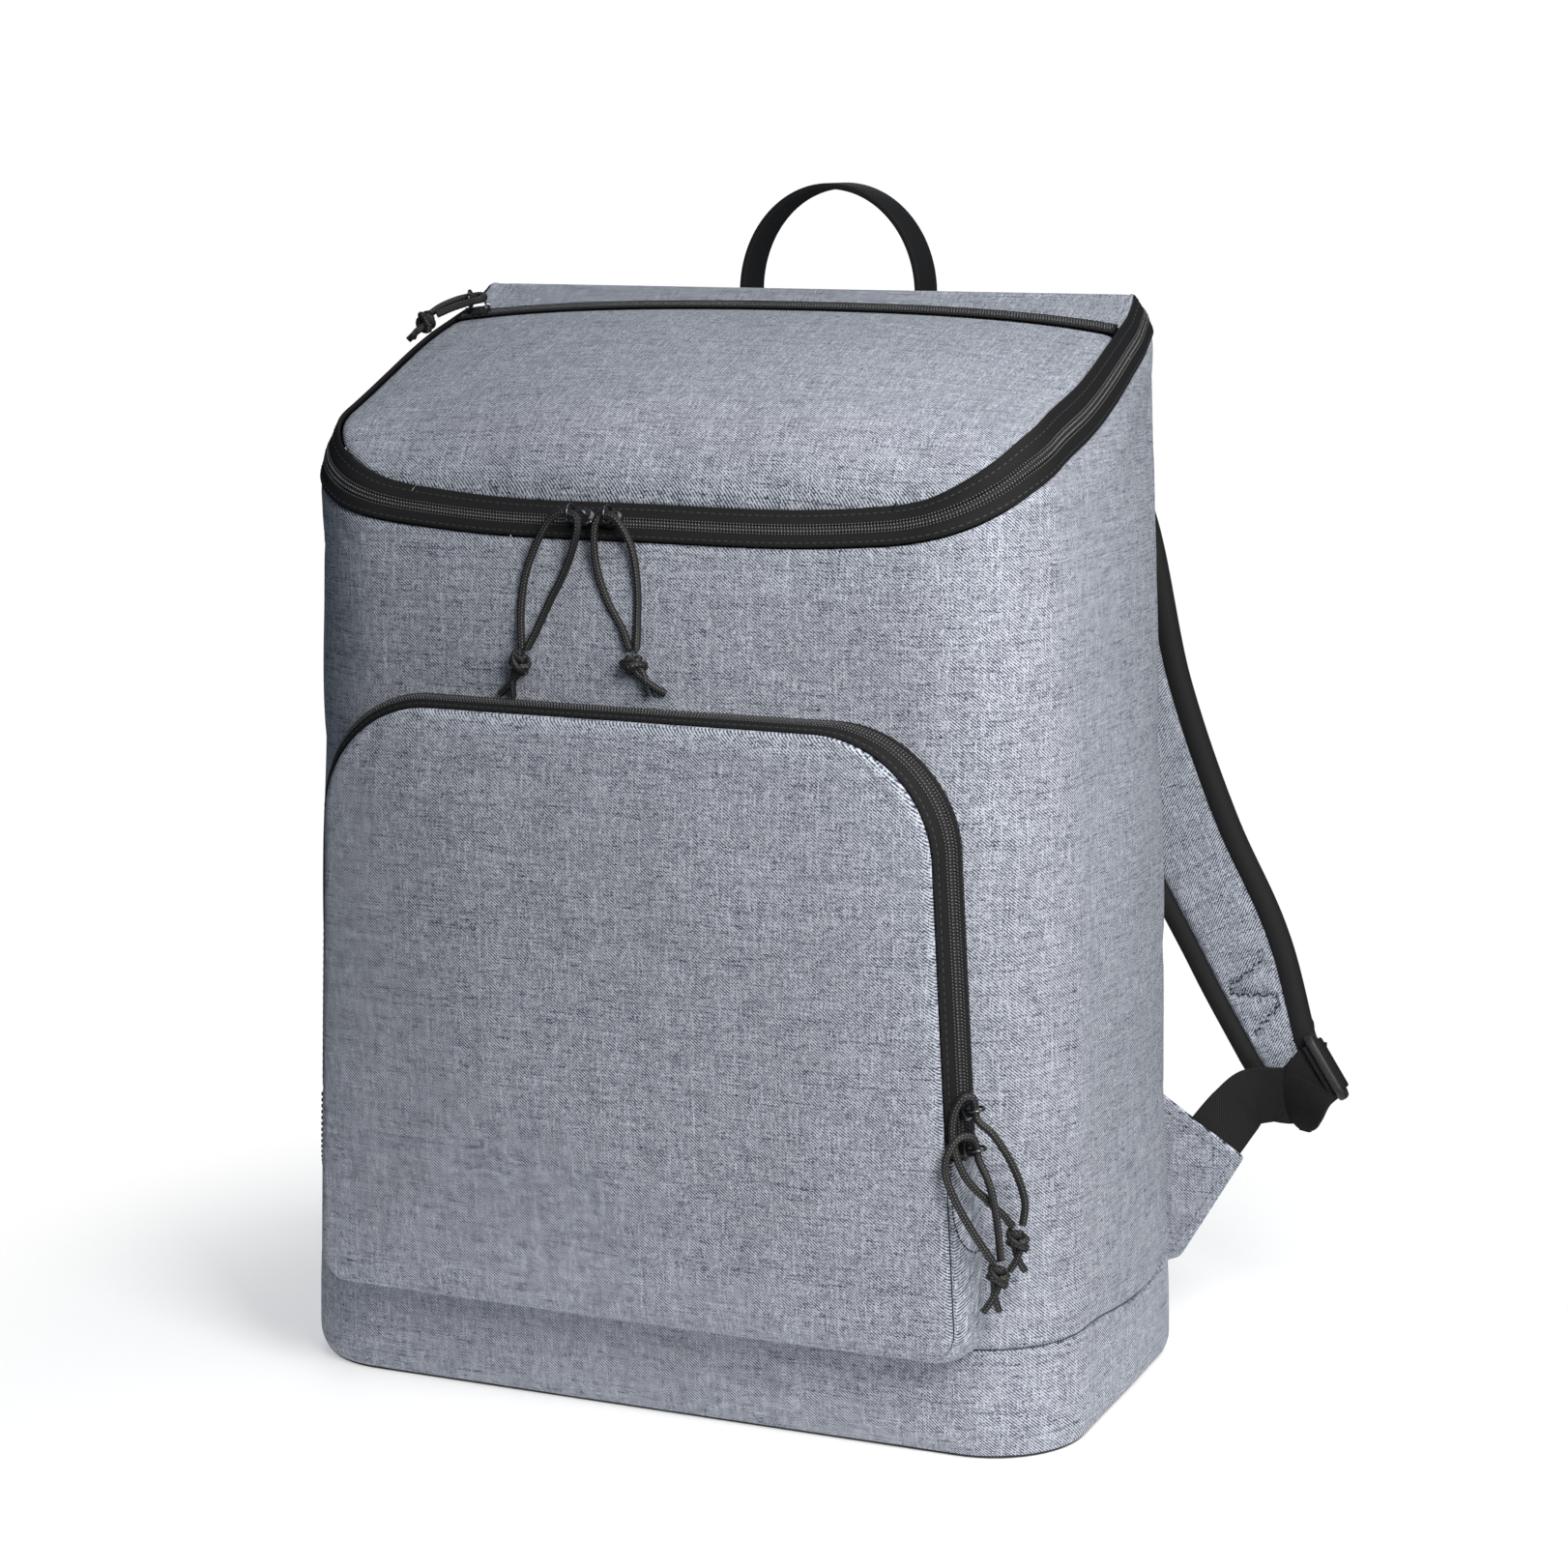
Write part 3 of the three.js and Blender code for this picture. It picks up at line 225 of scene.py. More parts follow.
# Where each knot sits, and the ends of its two tails.
KNOTS = {
    "main_left": ((-47.2, -95, 302), ((-57, -92.4, 289), (-51.3, -92.8, 288))),
    "main_right": ((1.9, -95.2, 304), ((7.6, -93.6, 292.6), (14.4, -93.2, 293.4))),
    "pocket_upper": ((155.8, -86.6, 92.4), ((153, -87.6, 80.6), (158.4, -85, 80.4))),
    "pocket_lower": ((151.6, -96.4, 81), ((146.4, -98, 67), (152, -96, 67.4))),
    "lid": ((-153.4, 25.6, 425.2), ((-156.8, 16.6, 418.4), (-153.2, 14.6, 419.8))),
}

# The way that the two rows of flecks on each cord face.
CORD_FACE = {
    "main_left": Vector((0.3, -1, 0)),
    "main_right": Vector((0.3, -1, 0)),
    "pocket_upper": Vector((0.5, -1, 0)),
    "pocket_lower": Vector((0.5, -1, 0)),
    "lid": Vector((0, -0.6, 1)),
}

# Lower webbing of a strap and its free tail: place and way across, in millimetres.
LOWER_WEB = [
    ((178.8, 84.2, 84.6), (0.83, 0, -0.55)),
    ((182.4, 86, 89.8), (0.81, 0, -0.58)),
    ((188.4, 92, 98.6), (0.66, 0.1, -0.74)),
    ((193.4, 98, 104), (0.28, 0.14, -0.95)),
    ((201.6, 103, 105), (0.02, 0.2, -0.98)),
    ((211, 106, 105.4), (0.1, 0.1, -0.98)),
    ((218, 107.6, 112), (0.4, 0, -0.92)),
    ((223, 108.4, 117), (0.55, -0.05, -0.83)),
]
WEB_TAIL = [
    ((222.6, 103.4, 117.4), (0.55, -0.05, -0.83)),
    ((219.4, 101.4, 113.6), (0.58, -0.2, -0.78)),
    ((217.4, 99.6, 106.6), (0.68, -0.5, -0.52)),
    ((217, 98.4, 99.4), (0.72, -0.62, -0.28)),
    ((217.6, 98, 92.4), (0.74, -0.64, -0.16)),
]
BUCKLE_AT = (224, 106, 119)
BUCKLE_ACROSS = (0.55, -0.05, -0.83)
BUCKLE_ALONG = (-0.16, 0.95, -0.16)
WING_CORNERS = [(136, 112), (157, 107), (195, 82), (168, 36), (136, 22)]
SIDES = {"right": 1, "left": -1}

# Stitches through the end of each pad: start and end of each row, as the share across the pad and the
# millimetres from its end.
PAD_STITCHES = [((0.62, 36.5), (-0.8, 30)), ((-0.8, 28), (0.86, 19.5)), ((0.86, 17), (-0.62, 8.5))]

# Stitches below the end of the pocket's zip: height in millimetres and place across the side wall.
END_STITCHES = [(122.5, 0.95), (112, 0.95), (102, 0.93), (94, 0.82), (89, 0.62), (86.5, 0.38), (86, 0.1)]

# Corners of a rounded shape: signs across and along, and the angle in degrees where the arc starts
CORNERS = ((1, 1, 0), (-1, 1, 90), (-1, -1, 180), (1, -1, 270))

# Places of the sliders along their zips
MAIN_SLIDERS = {"left": 0.4625, "right": 0.481}
POCKET_SLIDERS = {"upper": 0.032, "lower": 0.007}
LID_SLIDER = 0.022


class BackpackSizes(bpy.types.PropertyGroup):
    """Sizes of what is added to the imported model"""

    thread: FloatProperty(name="Thread", description="Width of one thread of the cloth",
                          default=0.00031, min=0.0001, max=0.002, unit="LENGTH", precision=5)
    tooth: FloatProperty(name="Tooth pitch", description="Length of one tooth along a zip coil",
                         default=0.0013, min=0.0005, max=0.004, unit="LENGTH", precision=5)
    stitch: FloatProperty(name="Stitch", description="Length of one stitch with its gap",
                          default=0.003, min=0.001, max=0.008, unit="LENGTH", precision=5)
    rib: FloatProperty(name="Rib pitch", description="Distance between the ribs of the webbing",
                       default=0.0011, min=0.0005, max=0.004, unit="LENGTH", precision=5)


class BackpackColours(bpy.types.PropertyGroup):
    """Colours of the cloth, trim and cords"""

    thread_dark: FloatVectorProperty(name="Dark thread", description="Slate blue thread of the cloth",
                                     subtype="COLOR", size=3, default=(0.018, 0.028, 0.054))
    thread_light: FloatVectorProperty(name="Light thread", description="Pale thread of the cloth",
                                      subtype="COLOR", size=3, default=(0.585, 0.62, 0.69))
    trim: FloatVectorProperty(name="Trim", description="Charcoal of tapes, bindings and webbing",
                              subtype="COLOR", size=3, default=(0.0075, 0.0075, 0.008))
    fleck: FloatVectorProperty(name="Fleck", description="Pale flecks in the braided cord",
                               subtype="COLOR", size=3, default=(0.15, 0.145, 0.135))


def sizes():
    return bpy.context.scene.backpack_sizes


def colours():
    return bpy.context.scene.backpack_colours


def mix(start, end, share):
    return start + (end - start) * share


def limit(value, low, high):
    return min(max(value, low), high)


def mirrored(place, hand):
    return (hand * place[0], place[1], place[2])


def table_value(rows, at, column):
    """Value of one column of a table at a place in its first column, on a smooth curve."""
    last = len(rows) - 1
    i = 0
    while i < last - 1 and at > rows[i + 1][0]:
        i += 1

    def slope(k):
        low = rows[max(k - 1, 0)]
        high = rows[min(k + 1, last)]
        return (high[column] - low[column]) / (high[0] - low[0])

    step = rows[i + 1][0] - rows[i][0]
    t = limit((at - rows[i][0]) / step, 0, 1)
    rise = rows[i + 1][column] - rows[i][column]
    start_bend = slope(i) * step
    end_bend = slope(i + 1) * step
    cubic = start_bend + end_bend - 2 * rise
    square = 3 * rise - 2 * start_bend - end_bend
    return rows[i][column] + t * (start_bend + t * (square + t * cubic))


def outline_runs(z):
    share = z / BAG_HEIGHT
    half = mix(BASE_WIDTH, TOP_WIDTH, share) / 2
    depth = mix(BASE_DEPTH, TOP_DEPTH, share)
    back_corner = mix(BACK_CORNER_BASE, BACK_CORNER_TOP, share)
    front_run = half - FRONT_CORNER
    front_arc = FRONT_CORNER * math.pi / 2
    side_run = depth - FRONT_CORNER - back_corner
    back_arc = back_corner * math.pi / 2
    return half, depth, back_corner, front_run, front_arc, side_run, back_arc


def outline_length(z):
    return sum(outline_runs(z)[3:])


def wall_point(along, z, out=0.0):
    """A point of the padded wall, `out` millimetres outside it."""
    half, depth, back_corner, front_run, front_arc, side_run, back_arc = outline_runs(z)
    front = BACK_FACE - depth
    hand = -1 if along < 0 else 1
    s = abs(along) * (front_run + front_arc + side_run + back_arc)
    height = math.sqrt(max(math.sin(math.pi * z / BAG_HEIGHT), 0))
    x = s
    y = front
    angle = 0
    swell = FRONT_SWELL * math.cos(math.pi / 2 * min(s / (front_run + front_arc / 2), 1)) ** 2
    if s > front_run + front_arc + side_run:
        turned = (s - front_run - front_arc - side_run) / back_corner
        angle = math.pi / 2 + turned
        x = half - back_corner + back_corner * math.cos(turned)
        y = BACK_FACE - back_corner + back_corner * math.sin(turned)
        swell = 0
    elif s > front_run + front_arc:
        angle = math.pi / 2
        x = half
        y = front + FRONT_CORNER + (s - front_run - front_arc)
        swell = SIDE_SWELL * math.sin(math.pi * (s - front_run - front_arc) / side_run) ** 2
    elif s > front_run:
        angle = (s - front_run) / FRONT_CORNER
        x = front_run + FRONT_CORNER * math.sin(angle)
        y = front + FRONT_CORNER * (1 - math.cos(angle))
    push = swell * height + out
    return Vector((hand * (x + math.sin(angle) * push), y - math.cos(angle) * push, z))


def seam_height(along):
    return BASE_BAND * table_value(BASE_SEAM, abs(along), 1)


def zip_point(along, share, inside=0.0):
    """A point across the main zip, from its lower edge on the wall to its upper edge at the lid."""
    at = abs(along)
    rise = table_value(ZIP_LINE, at, 2 if along < 0 else 1)
    half = ZIP_WIDTH * table_value(ZIP_LINE, at, 3)
    tuck = ZIP_WIDTH * table_value(ZIP_LINE, at, 4)
    z = mix(FRONT_HEIGHT, BAG_HEIGHT, rise) + half * (2 * share - 1)
    return wall_point(along, z, -tuck * max(share, 0) ** TUCK_CURVE - inside)


def lid_edge(along):
    return zip_point(along, 1, LID_SEAT)


def lid_point(a, b):
    """The lid's surface: a from left to right, -1 to 1, and b from front to back, 0 to 1."""
    along = mix(LID_START, LID_END, b)
    across = (a + 1) / 2
    point = lid_edge(-along).lerp(lid_edge(along), across)
    straight = lid_edge(-LID_START).lerp(lid_edge(LID_START), across)
    point += (lid_edge(a * LID_START) - straight) * (1 - b) ** 2
    point.z += LID_CROWN * (1 - a * a) * math.sin(math.pi * b)
    point.y += LID_BACK_REACH * (1 - min(abs(a), 1) ** 18) * max(b, 0) ** 12
    return point


def lid_zip_place(a):
    return LID_ZIP_MIDDLE - LID_ZIP_SIDES * abs(a) ** 3


LID_ZIP_SHARE = LID_ZIP_WIDTH / (TOP_DEPTH + FRONT_CORNER)
RIM_BREAKS = [0, 0.2, 0.26, 0.62, 0.8, 1]


def main_strip(u, w):
    return zip_point(2 * u - 1, w)


def lid_strip(u, w):
    a = LID_ZIP_REACH * (2 * u - 1)
    return lid_point(a, lid_zip_place(a) + LID_ZIP_SHARE * (w - 0.5))


def pocket_rim(q, inset):
    """A place on the pocket's rim, from the bottom middle to the top middle."""
    hand = -1 if q < 0 else 1
    at = abs(q)
    bottom = POCKET_BOTTOM + inset * 0.2
    top = POCKET_TOP - inset * 0.5
    low = POCKET_BASE_WIDTH / 2 - inset
    high = POCKET_TOP_WIDTH / 2 - inset
    piece = 0
    while piece < 4 and at > RIM_BREAKS[piece + 1]:
        piece += 1
    t = (at - RIM_BREAKS[piece]) / (RIM_BREAKS[piece + 1] - RIM_BREAKS[piece])
    turn = t * math.pi / 2
    low_corner = POCKET_BOTTOM_CORNER
    top_corner = POCKET_TOP_CORNER
    x, z = [
        (t * (low - low_corner), bottom),
        (low - low_corner * (1 - math.sin(turn)), bottom + low_corner * (1 - math.cos(turn))),
        (mix(low, high, t), mix(bottom + low_corner, top - top_corner, t)),
        (high - top_corner * (1 - math.cos(turn)), top - top_corner * (1 - math.sin(turn))),
        ((1 - t) * (high - top_corner), top),
    ][piece]
    return POCKET_CENTRE + hand * x, z


def front_wall_y(x, z):
    """The body's front wall at a place looked at from the front."""
    share = z / BAG_HEIGHT
    run = mix(BASE_WIDTH, TOP_WIDTH, share) / 2 - FRONT_CORNER
    front = BACK_FACE - mix(BASE_DEPTH, TOP_DEPTH, share)
    past = limit(abs(x) - run, 0, FRONT_CORNER * CORNER_REACH)
    reach = run + FRONT_CORNER * math.pi / 4
    swell = FRONT_SWELL * math.cos(math.pi / 2 * min(abs(x) / reach, 1)) ** 2
    height = math.sqrt(max(math.sin(math.pi * z / BAG_HEIGHT), 0))
    return front + FRONT_CORNER - math.sqrt(FRONT_CORNER ** 2 - past ** 2) - swell * height


def pocket_face(z):
    return BACK_FACE - mix(BASE_DEPTH, TOP_DEPTH, z / BAG_HEIGHT) - POCKET_DEPTH


def pocket_wall_point(q, w):
    """A point of the pocket's side wall: w from 0 at the body to 1 at the pocket's front."""
    back_x, back_z = pocket_rim(q, 0)
    front_x, front_z = pocket_rim(q, POCKET_TAPER)
    start = Vector((back_x, front_wall_y(back_x, back_z) - POCKET_SEAT, back_z))
    end = Vector((front_x, pocket_face(front_z), front_z))
    point = start.lerp(end, w)
    middle = (POCKET_BOTTOM + POCKET_TOP) / 2
    away = Vector((point.x - POCKET_CENTRE, 0, point.z - middle)).normalized()
    return point + away * (POCKET_BULGE * math.sin(math.pi * w))


POCKET_ZIP_SHARE = ((POCKET_ZIP_END - POCKET_BOTTOM - POCKET_BOTTOM_CORNER)
                    / (POCKET_TOP - POCKET_TOP_CORNER - POCKET_BOTTOM - POCKET_BOTTOM_CORNER))
ZIP_END_Q = mix(RIM_BREAKS[2], RIM_BREAKS[3], POCKET_ZIP_SHARE)
ZIP_END_CLEAR = 0.004


def pocket_strip(u, w):
    up = 1 - abs(2 * u - 1)
    return pocket_wall_point((1 if u < 0.5 else -1) * mix(ZIP_END_Q, 1, up), w)


def clear_selection():
    for thing in bpy.context.selected_objects:
        thing.select_set(False)


def take(piece):
    clear_selection()
    piece.select_set(True)
    bpy.context.view_layer.objects.active = piece


def apply_modifiers(piece):
    take(piece)
    for modifier in list(piece.modifiers):
        bpy.ops.object.modifier_apply(modifier=modifier.name)


def smooth(piece, degrees=40):
    take(piece)
    bpy.ops.object.shade_smooth_by_angle(angle=math.radians(degrees))


def extrude_up(height):
    bpy.ops.mesh.extrude_region_move(TRANSFORM_OT_translate={"value": (0, 0, height)})


def finish(piece, material, slot, *nodes):
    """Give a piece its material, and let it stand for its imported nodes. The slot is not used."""
    piece.data.materials.clear()
    piece.data.materials.append(material)
    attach(piece, BODY)
    if nodes:
        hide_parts(*nodes)
    return piece


def new_piece(name, points, faces, uv=None):
    """A piece from points in millimetres, its faces, and one UV place for each point."""
    mesh = bpy.data.meshes.new(name)
    mesh.from_pydata([Vector(point) * MM for point in points], [], faces)
    if uv:
        layer = mesh.uv_layers.new(name="UVMap")
        for polygon in mesh.polygons:
            places = [uv[index] for index in polygon.vertices]
            high = max(place[1] for place in places)
            for loop_index, place in zip(polygon.loop_indices, places):
                wrapped = 1.0 if high - place[1] > 0.5 else 0.0
                layer.data[loop_index].uv = (place[0], place[1] + wrapped)
    mesh.update()
    piece = bpy.data.objects.new(name, mesh)
    bpy.context.collection.objects.link(piece)
    return piece


def crowd(t, amount=0.6):
    """Bring the rows of a grid closer together towards both of its edges."""
    return mix(t, 0.5 - 0.5 * math.cos(math.pi * t), amount)


def roll(distance, radius, depth):
    """How far the edge of a turned-in cloth drops at a distance from its seam."""
    if distance >= radius:
        return 0.0
    share = 1 - distance / radius
    return -depth * (1 - math.sqrt(max(1 - share * share, 0)))


def ripple(point, size, seed=0.0):
    """Soft unevenness of stuffed cloth, from -1 to 1."""
    place = Vector(point) / size + Vector((seed, 2 * seed, -seed))
    return noise.noise(place) + 0.45 * noise.noise(place * 2.3)


def sheet_piece(name, surface, columns, rows, wall, uv, crowded=0.6, span=None):
    """A wall of cloth: a grid shaped by surface(u, v) in millimetres, thickened inwards. With a span
    the sheet is draped before it gets its thickness."""
    clear_selection()
    bpy.ops.mesh.primitive_grid_add(x_subdivisions=columns, y_subdivisions=rows, size=1)
    piece = bpy.context.object
    piece.name = name
    mesh = piece.data
    mesh.name = name
    table = []
    shares = []
    for vertex in mesh.vertices:
        u = crowd(limit(vertex.co.x + 0.5, 0, 1), crowded)
        v = crowd(limit(vertex.co.y + 0.5, 0, 1), crowded)
        place = surface(u, v)
        vertex.co = place * MM
        table.append(uv(u, v, place))
        shares.append((u, v))
    layer = mesh.uv_layers.active or mesh.uv_layers.new(name="UVMap")
    for loop in mesh.loops:
        layer.data[loop.index].uv = table[loop.vertex_index]
    mesh.update()
    if span:
        drape(piece, shares, span)
    if wall:
        solid = piece.modifiers.new("Wall", "SOLIDIFY")
        solid.thickness = wall * MM
        solid.offset = -1
        apply_modifiers(piece)
    smooth(piece)
    return piece


def drape(piece, places, span, pressure=1.5, cap=2.5, frames=12):
    """Let a sheet, held at its seams, settle as cloth under a little pressure. places are its UV shares
    and span its width and height in millimetres. No point moves further than the cap."""
    mesh = piece.data
    before = [vertex.co.copy() for vertex in mesh.vertices]
    seam = piece.vertex_groups.new(name="seam")
    for i, (u, v) in enumerate(places):
        reach = min(min(u, 1 - u) * span[0], min(v, 1 - v) * span[1])
        if reach < SEAM_HOLD:
            seam.add([i], 1 - reach / SEAM_HOLD, "REPLACE")
    cloth = piece.modifiers.new("Cloth", "CLOTH")
    settings = cloth.settings
    settings.quality = 5
    settings.mass = 0.2
    settings.tension_stiffness = 10
    settings.compression_stiffness = 10
    settings.shear_stiffness = 4
    settings.bending_stiffness = 0.3
    settings.shrink_min = -0.0015
    settings.use_pressure = True
    settings.uniform_pressure_force = pressure
    settings.vertex_group_mass = "seam"
    settings.effector_weights.gravity = 0
    cloth.collision_settings.use_collision = False
    cloth.point_cache.frame_start = 1
    cloth.point_cache.frame_end = frames
    for number in range(1, frames + 1):
        bpy.context.scene.frame_set(number)
    settled = piece.evaluated_get(bpy.context.evaluated_depsgraph_get()).data
    after = [vertex.co.copy() for vertex in settled.vertices]
    piece.modifiers.remove(cloth)
    piece.vertex_groups.remove(seam)
    bpy.context.scene.frame_set(1)
    most = 0.0
    for vertex, was, now in zip(mesh.vertices, before, after):
        shift = now - was
        length = shift.length / MM
        most = max(most, length)
        if length > 1e-6:
            vertex.co = was + shift * (cap * math.tanh(length / cap) / length)
    print(f"{piece.name}: the cloth moved up to {most:.2f} mm before the cap")
    mesh.update()


def push_out(surface, u, v, out):
    """A point of a surface, moved along its normal."""
    step = 1e-3
    along = surface(min(u + step, 1), v) - surface(max(u - step, 0), v)
    across = surface(u, min(v + step, 1)) - surface(u, max(v - step, 0))
    return surface(u, v) + along.cross(across).normalized() * out


def reach_along(points):
    """Length along a line from its first point to each of its points."""
    reach = [0.0]
    for before, after in zip(points, points[1:]):
        reach.append(reach[-1] + (after - before).length)
    return reach


def smooth_curve(points, pitch):
    """Points at an even pitch on a centripetal curve through chosen points, and their tangents."""
    points = [Vector(point) for point in points]
    ends = [2 * points[0] - points[1]] + points + [2 * points[-1] - points[-2]]
    dense = []
    for i in range(1, len(ends) - 2):
        p0, p1, p2, p3 = ends[i - 1:i + 3]
        t0 = max((p1 - p0).length, 1e-4) ** 0.5
        t1 = max((p2 - p1).length, 1e-4) ** 0.5
        t2 = max((p3 - p2).length, 1e-4) ** 0.5
        m1 = ((p1 - p0) / t0 - (p2 - p0) / (t0 + t1) + (p2 - p1) / t1) * t1
        m2 = ((p2 - p1) / t1 - (p3 - p1) / (t1 + t2) + (p3 - p2) / t2) * t1
        for k in range(16):
            t = k / 16
            square = t * t
            cube = square * t
            dense.append(p1 * (2 * cube - 3 * square + 1) + m1 * (cube - 2 * square + t)
                         + p2 * (3 * square - 2 * cube) + m2 * (cube - square))
    dense.append(points[-1])
    reach = reach_along(dense)
    count = max(round(reach[-1] / pitch), 2)
    places = []
    i = 0
    for k in range(count + 1):
        target = reach[-1] * k / count
        while i < len(reach) - 2 and reach[i + 1] < target:
            i += 1
        share = (target - reach[i]) / max(reach[i + 1] - reach[i], 1e-9)
        places.append(dense[i].lerp(dense[i + 1], limit(share, 0, 1)))
    tangents = [(places[min(k + 1, count)] - places[max(k - 1, 0)]).normalized() for k in range(count + 1)]
    return places, tangents


def carried_sides(tangents, start):
    """Directions across a curve that turn with it and don't spin round it."""
    side = (start - tangents[0] * start.dot(tangents[0])).normalized()
    sides = []
    for tangent in tangents:
        side = (side - tangent * side.dot(tangent)).normalized()
        sides.append(side)
    return sides


def sweep(places, rings, closed_ends=True):
    """Points, faces and UV places of a body through rings of points; UV is length and share round."""
    count = len(rings[0])
    points = [point for ring in rings for point in ring]
    uv = [(length * MM, k / count) for length in reach_along(places) for k in range(count)]
    faces = []
    for j in range(len(rings) - 1):
        for k in range(count):
            a = j * count + k
            b = j * count + (k + 1) % count
            faces.append((a, b, b + count, a + count))
    if closed_ends:
        faces.append(tuple(range(count - 1, -1, -1)))
        top = (len(rings) - 1) * count
        faces.append(tuple(range(top, top + count)))
    return points, faces, uv


def joined(parts):
    """One list of points, faces and UV places from several."""
    points, faces, uv = [], [], []
    for part_points, part_faces, part_uv in parts:
        start = len(points)
        points += part_points
        faces += [tuple(index + start for index in face) for face in part_faces]
        uv += part_uv
    return points, faces, uv


def face_outwards(piece):
    take(piece)
    bpy.ops.object.mode_set(mode="EDIT")
    bpy.ops.mesh.select_all(action="SELECT")
    bpy.ops.mesh.normals_make_consistent(inside=False)
    bpy.ops.object.mode_set(mode="OBJECT")


def copies(name, pattern, frames):
    """One piece with a small modelled pattern at each of many frames, in millimetres."""
    vertices = [vertex.co.copy() for vertex in pattern.data.vertices]
    polygons = [tuple(face.vertices) for face in pattern.data.polygons]
    points, faces = [], []
    for place in frames:
        start = len(points)
        points += [place @ vertex for vertex in vertices]
        faces += [tuple(index + start for index in face) for face in polygons]
    uv = [(point.x * MM, point.z * MM) for point in points]
    piece = new_piece(name, points, faces, uv)
    piece.data.polygons.foreach_set("use_smooth", [True] * len(faces))
    return piece


def bead(name, length, width, height, segments=8, rings=5):
    """A small rounded bead, modelled once and copied: length along y, width x, height z."""
    clear_selection()
    bpy.ops.mesh.primitive_uv_sphere_add(segments=segments, ring_count=rings, radius=0.5)
    pattern = bpy.context.object
    pattern.name = name
    for vertex in pattern.data.vertices:
        x, y, z = vertex.co
        vertex.co = (x * width, y * length, z * height)
    return pattern


def drop(piece):
    mesh = piece.data
    bpy.data.objects.remove(piece)
    bpy.data.meshes.remove(mesh)


def frame_on(origin, along, away):
    """A matrix with y along, z away and its origin at a place."""
    along = along.normalized()
    side = along.cross(away).normalized()
    away = side.cross(along).normalized()
    matrix = Matrix((side, along, away)).transposed().to_4x4()
    matrix.translation = origin
    return matrix


def stitch_row(name, points, faces_to, length=2.0, gap=0.8, thick=0.5):
    """A row of thread along a line: points in millimetres and, for each, the way out of the cloth."""
    reach = reach_along(points)
    thread = bead("thread", length, thick, thick * 0.8, 6, 4)
    frames = []
    place = length / 2
    i = 0
    while place < reach[-1] - length / 2:
        while i < len(reach) - 2 and reach[i + 1] < place:
            i += 1
        share = (place - reach[i]) / max(reach[i + 1] - reach[i], 1e-6)
        origin = points[i].lerp(points[i + 1], limit(share, 0, 1))
        frames.append(frame_on(origin, points[i + 1] - points[i], faces_to[i]))
        place += length + gap
    piece = copies(name, thread, frames)
    drop(thread)
    return piece


def strip_frame(strip, u, w, rise):
    """The frame on a zip's strip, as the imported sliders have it."""
    step = 1e-3
    low, high = max(u - step, 0), min(u + step, 1)
    along = (strip(high, w) - strip(low, w)).normalized()
    across = strip(u, min(w + step, 1)) - strip(u, max(w - step, 0))
    away = along.cross(across).normalized()
    side = along.cross(away).normalized()
    matrix = Matrix((side, along, away)).transposed().to_4x4()
    matrix.translation = strip(u, w) + away * rise
    return matrix


def wire(tree, kind, inputs=None, **settings):
    """Add a shader node, set it up and wire its inputs."""
    made = tree.nodes.new(kind)
    for name, value in settings.items():
        setattr(made, name, value)
    for name, value in (inputs or {}).items():
        if isinstance(value, bpy.types.NodeSocket):
            tree.links.new(value, made.inputs[name])
        else:
            made.inputs[name].default_value = value
    return made


def sums(tree, operation, first, second=0.0, clamp=False):
    made = wire(tree, "ShaderNodeMath", {0: first, 1: second}, operation=operation, use_clamp=clamp)
    return made.outputs[0]


def blend_colours(tree, share, first, second):
    made = wire(tree, "ShaderNodeMix", {"Factor": share}, data_type="RGBA")
    for index, value in ((6, first), (7, second)):
        if isinstance(value, bpy.types.NodeSocket):
            tree.links.new(value, made.inputs[index])
        else:
            made.inputs[index].default_value = (*value, 1) if len(value) == 3 else value
    return made.outputs[2]


def new_group(name, inputs, outputs):
    """A shader node group with named inputs and outputs."""
    group = bpy.data.node_groups.new(name, "ShaderNodeTree")
    kinds = {"Color": "NodeSocketColor"}
    for label, value in inputs.items():
        kind = "NodeSocketColor" if isinstance(value, tuple) else "NodeSocketFloat"
        socket = group.interface.new_socket(label, in_out="INPUT", socket_type=kind)
        socket.default_value = value
    for label in outputs:
        group.interface.new_socket(label, in_out="OUTPUT", socket_type=kinds.get(label, "NodeSocketFloat"))
    start = group.nodes.new("NodeGroupInput")
    end = group.nodes.new("NodeGroupOutput")
    return group, start.outputs, end.inputs


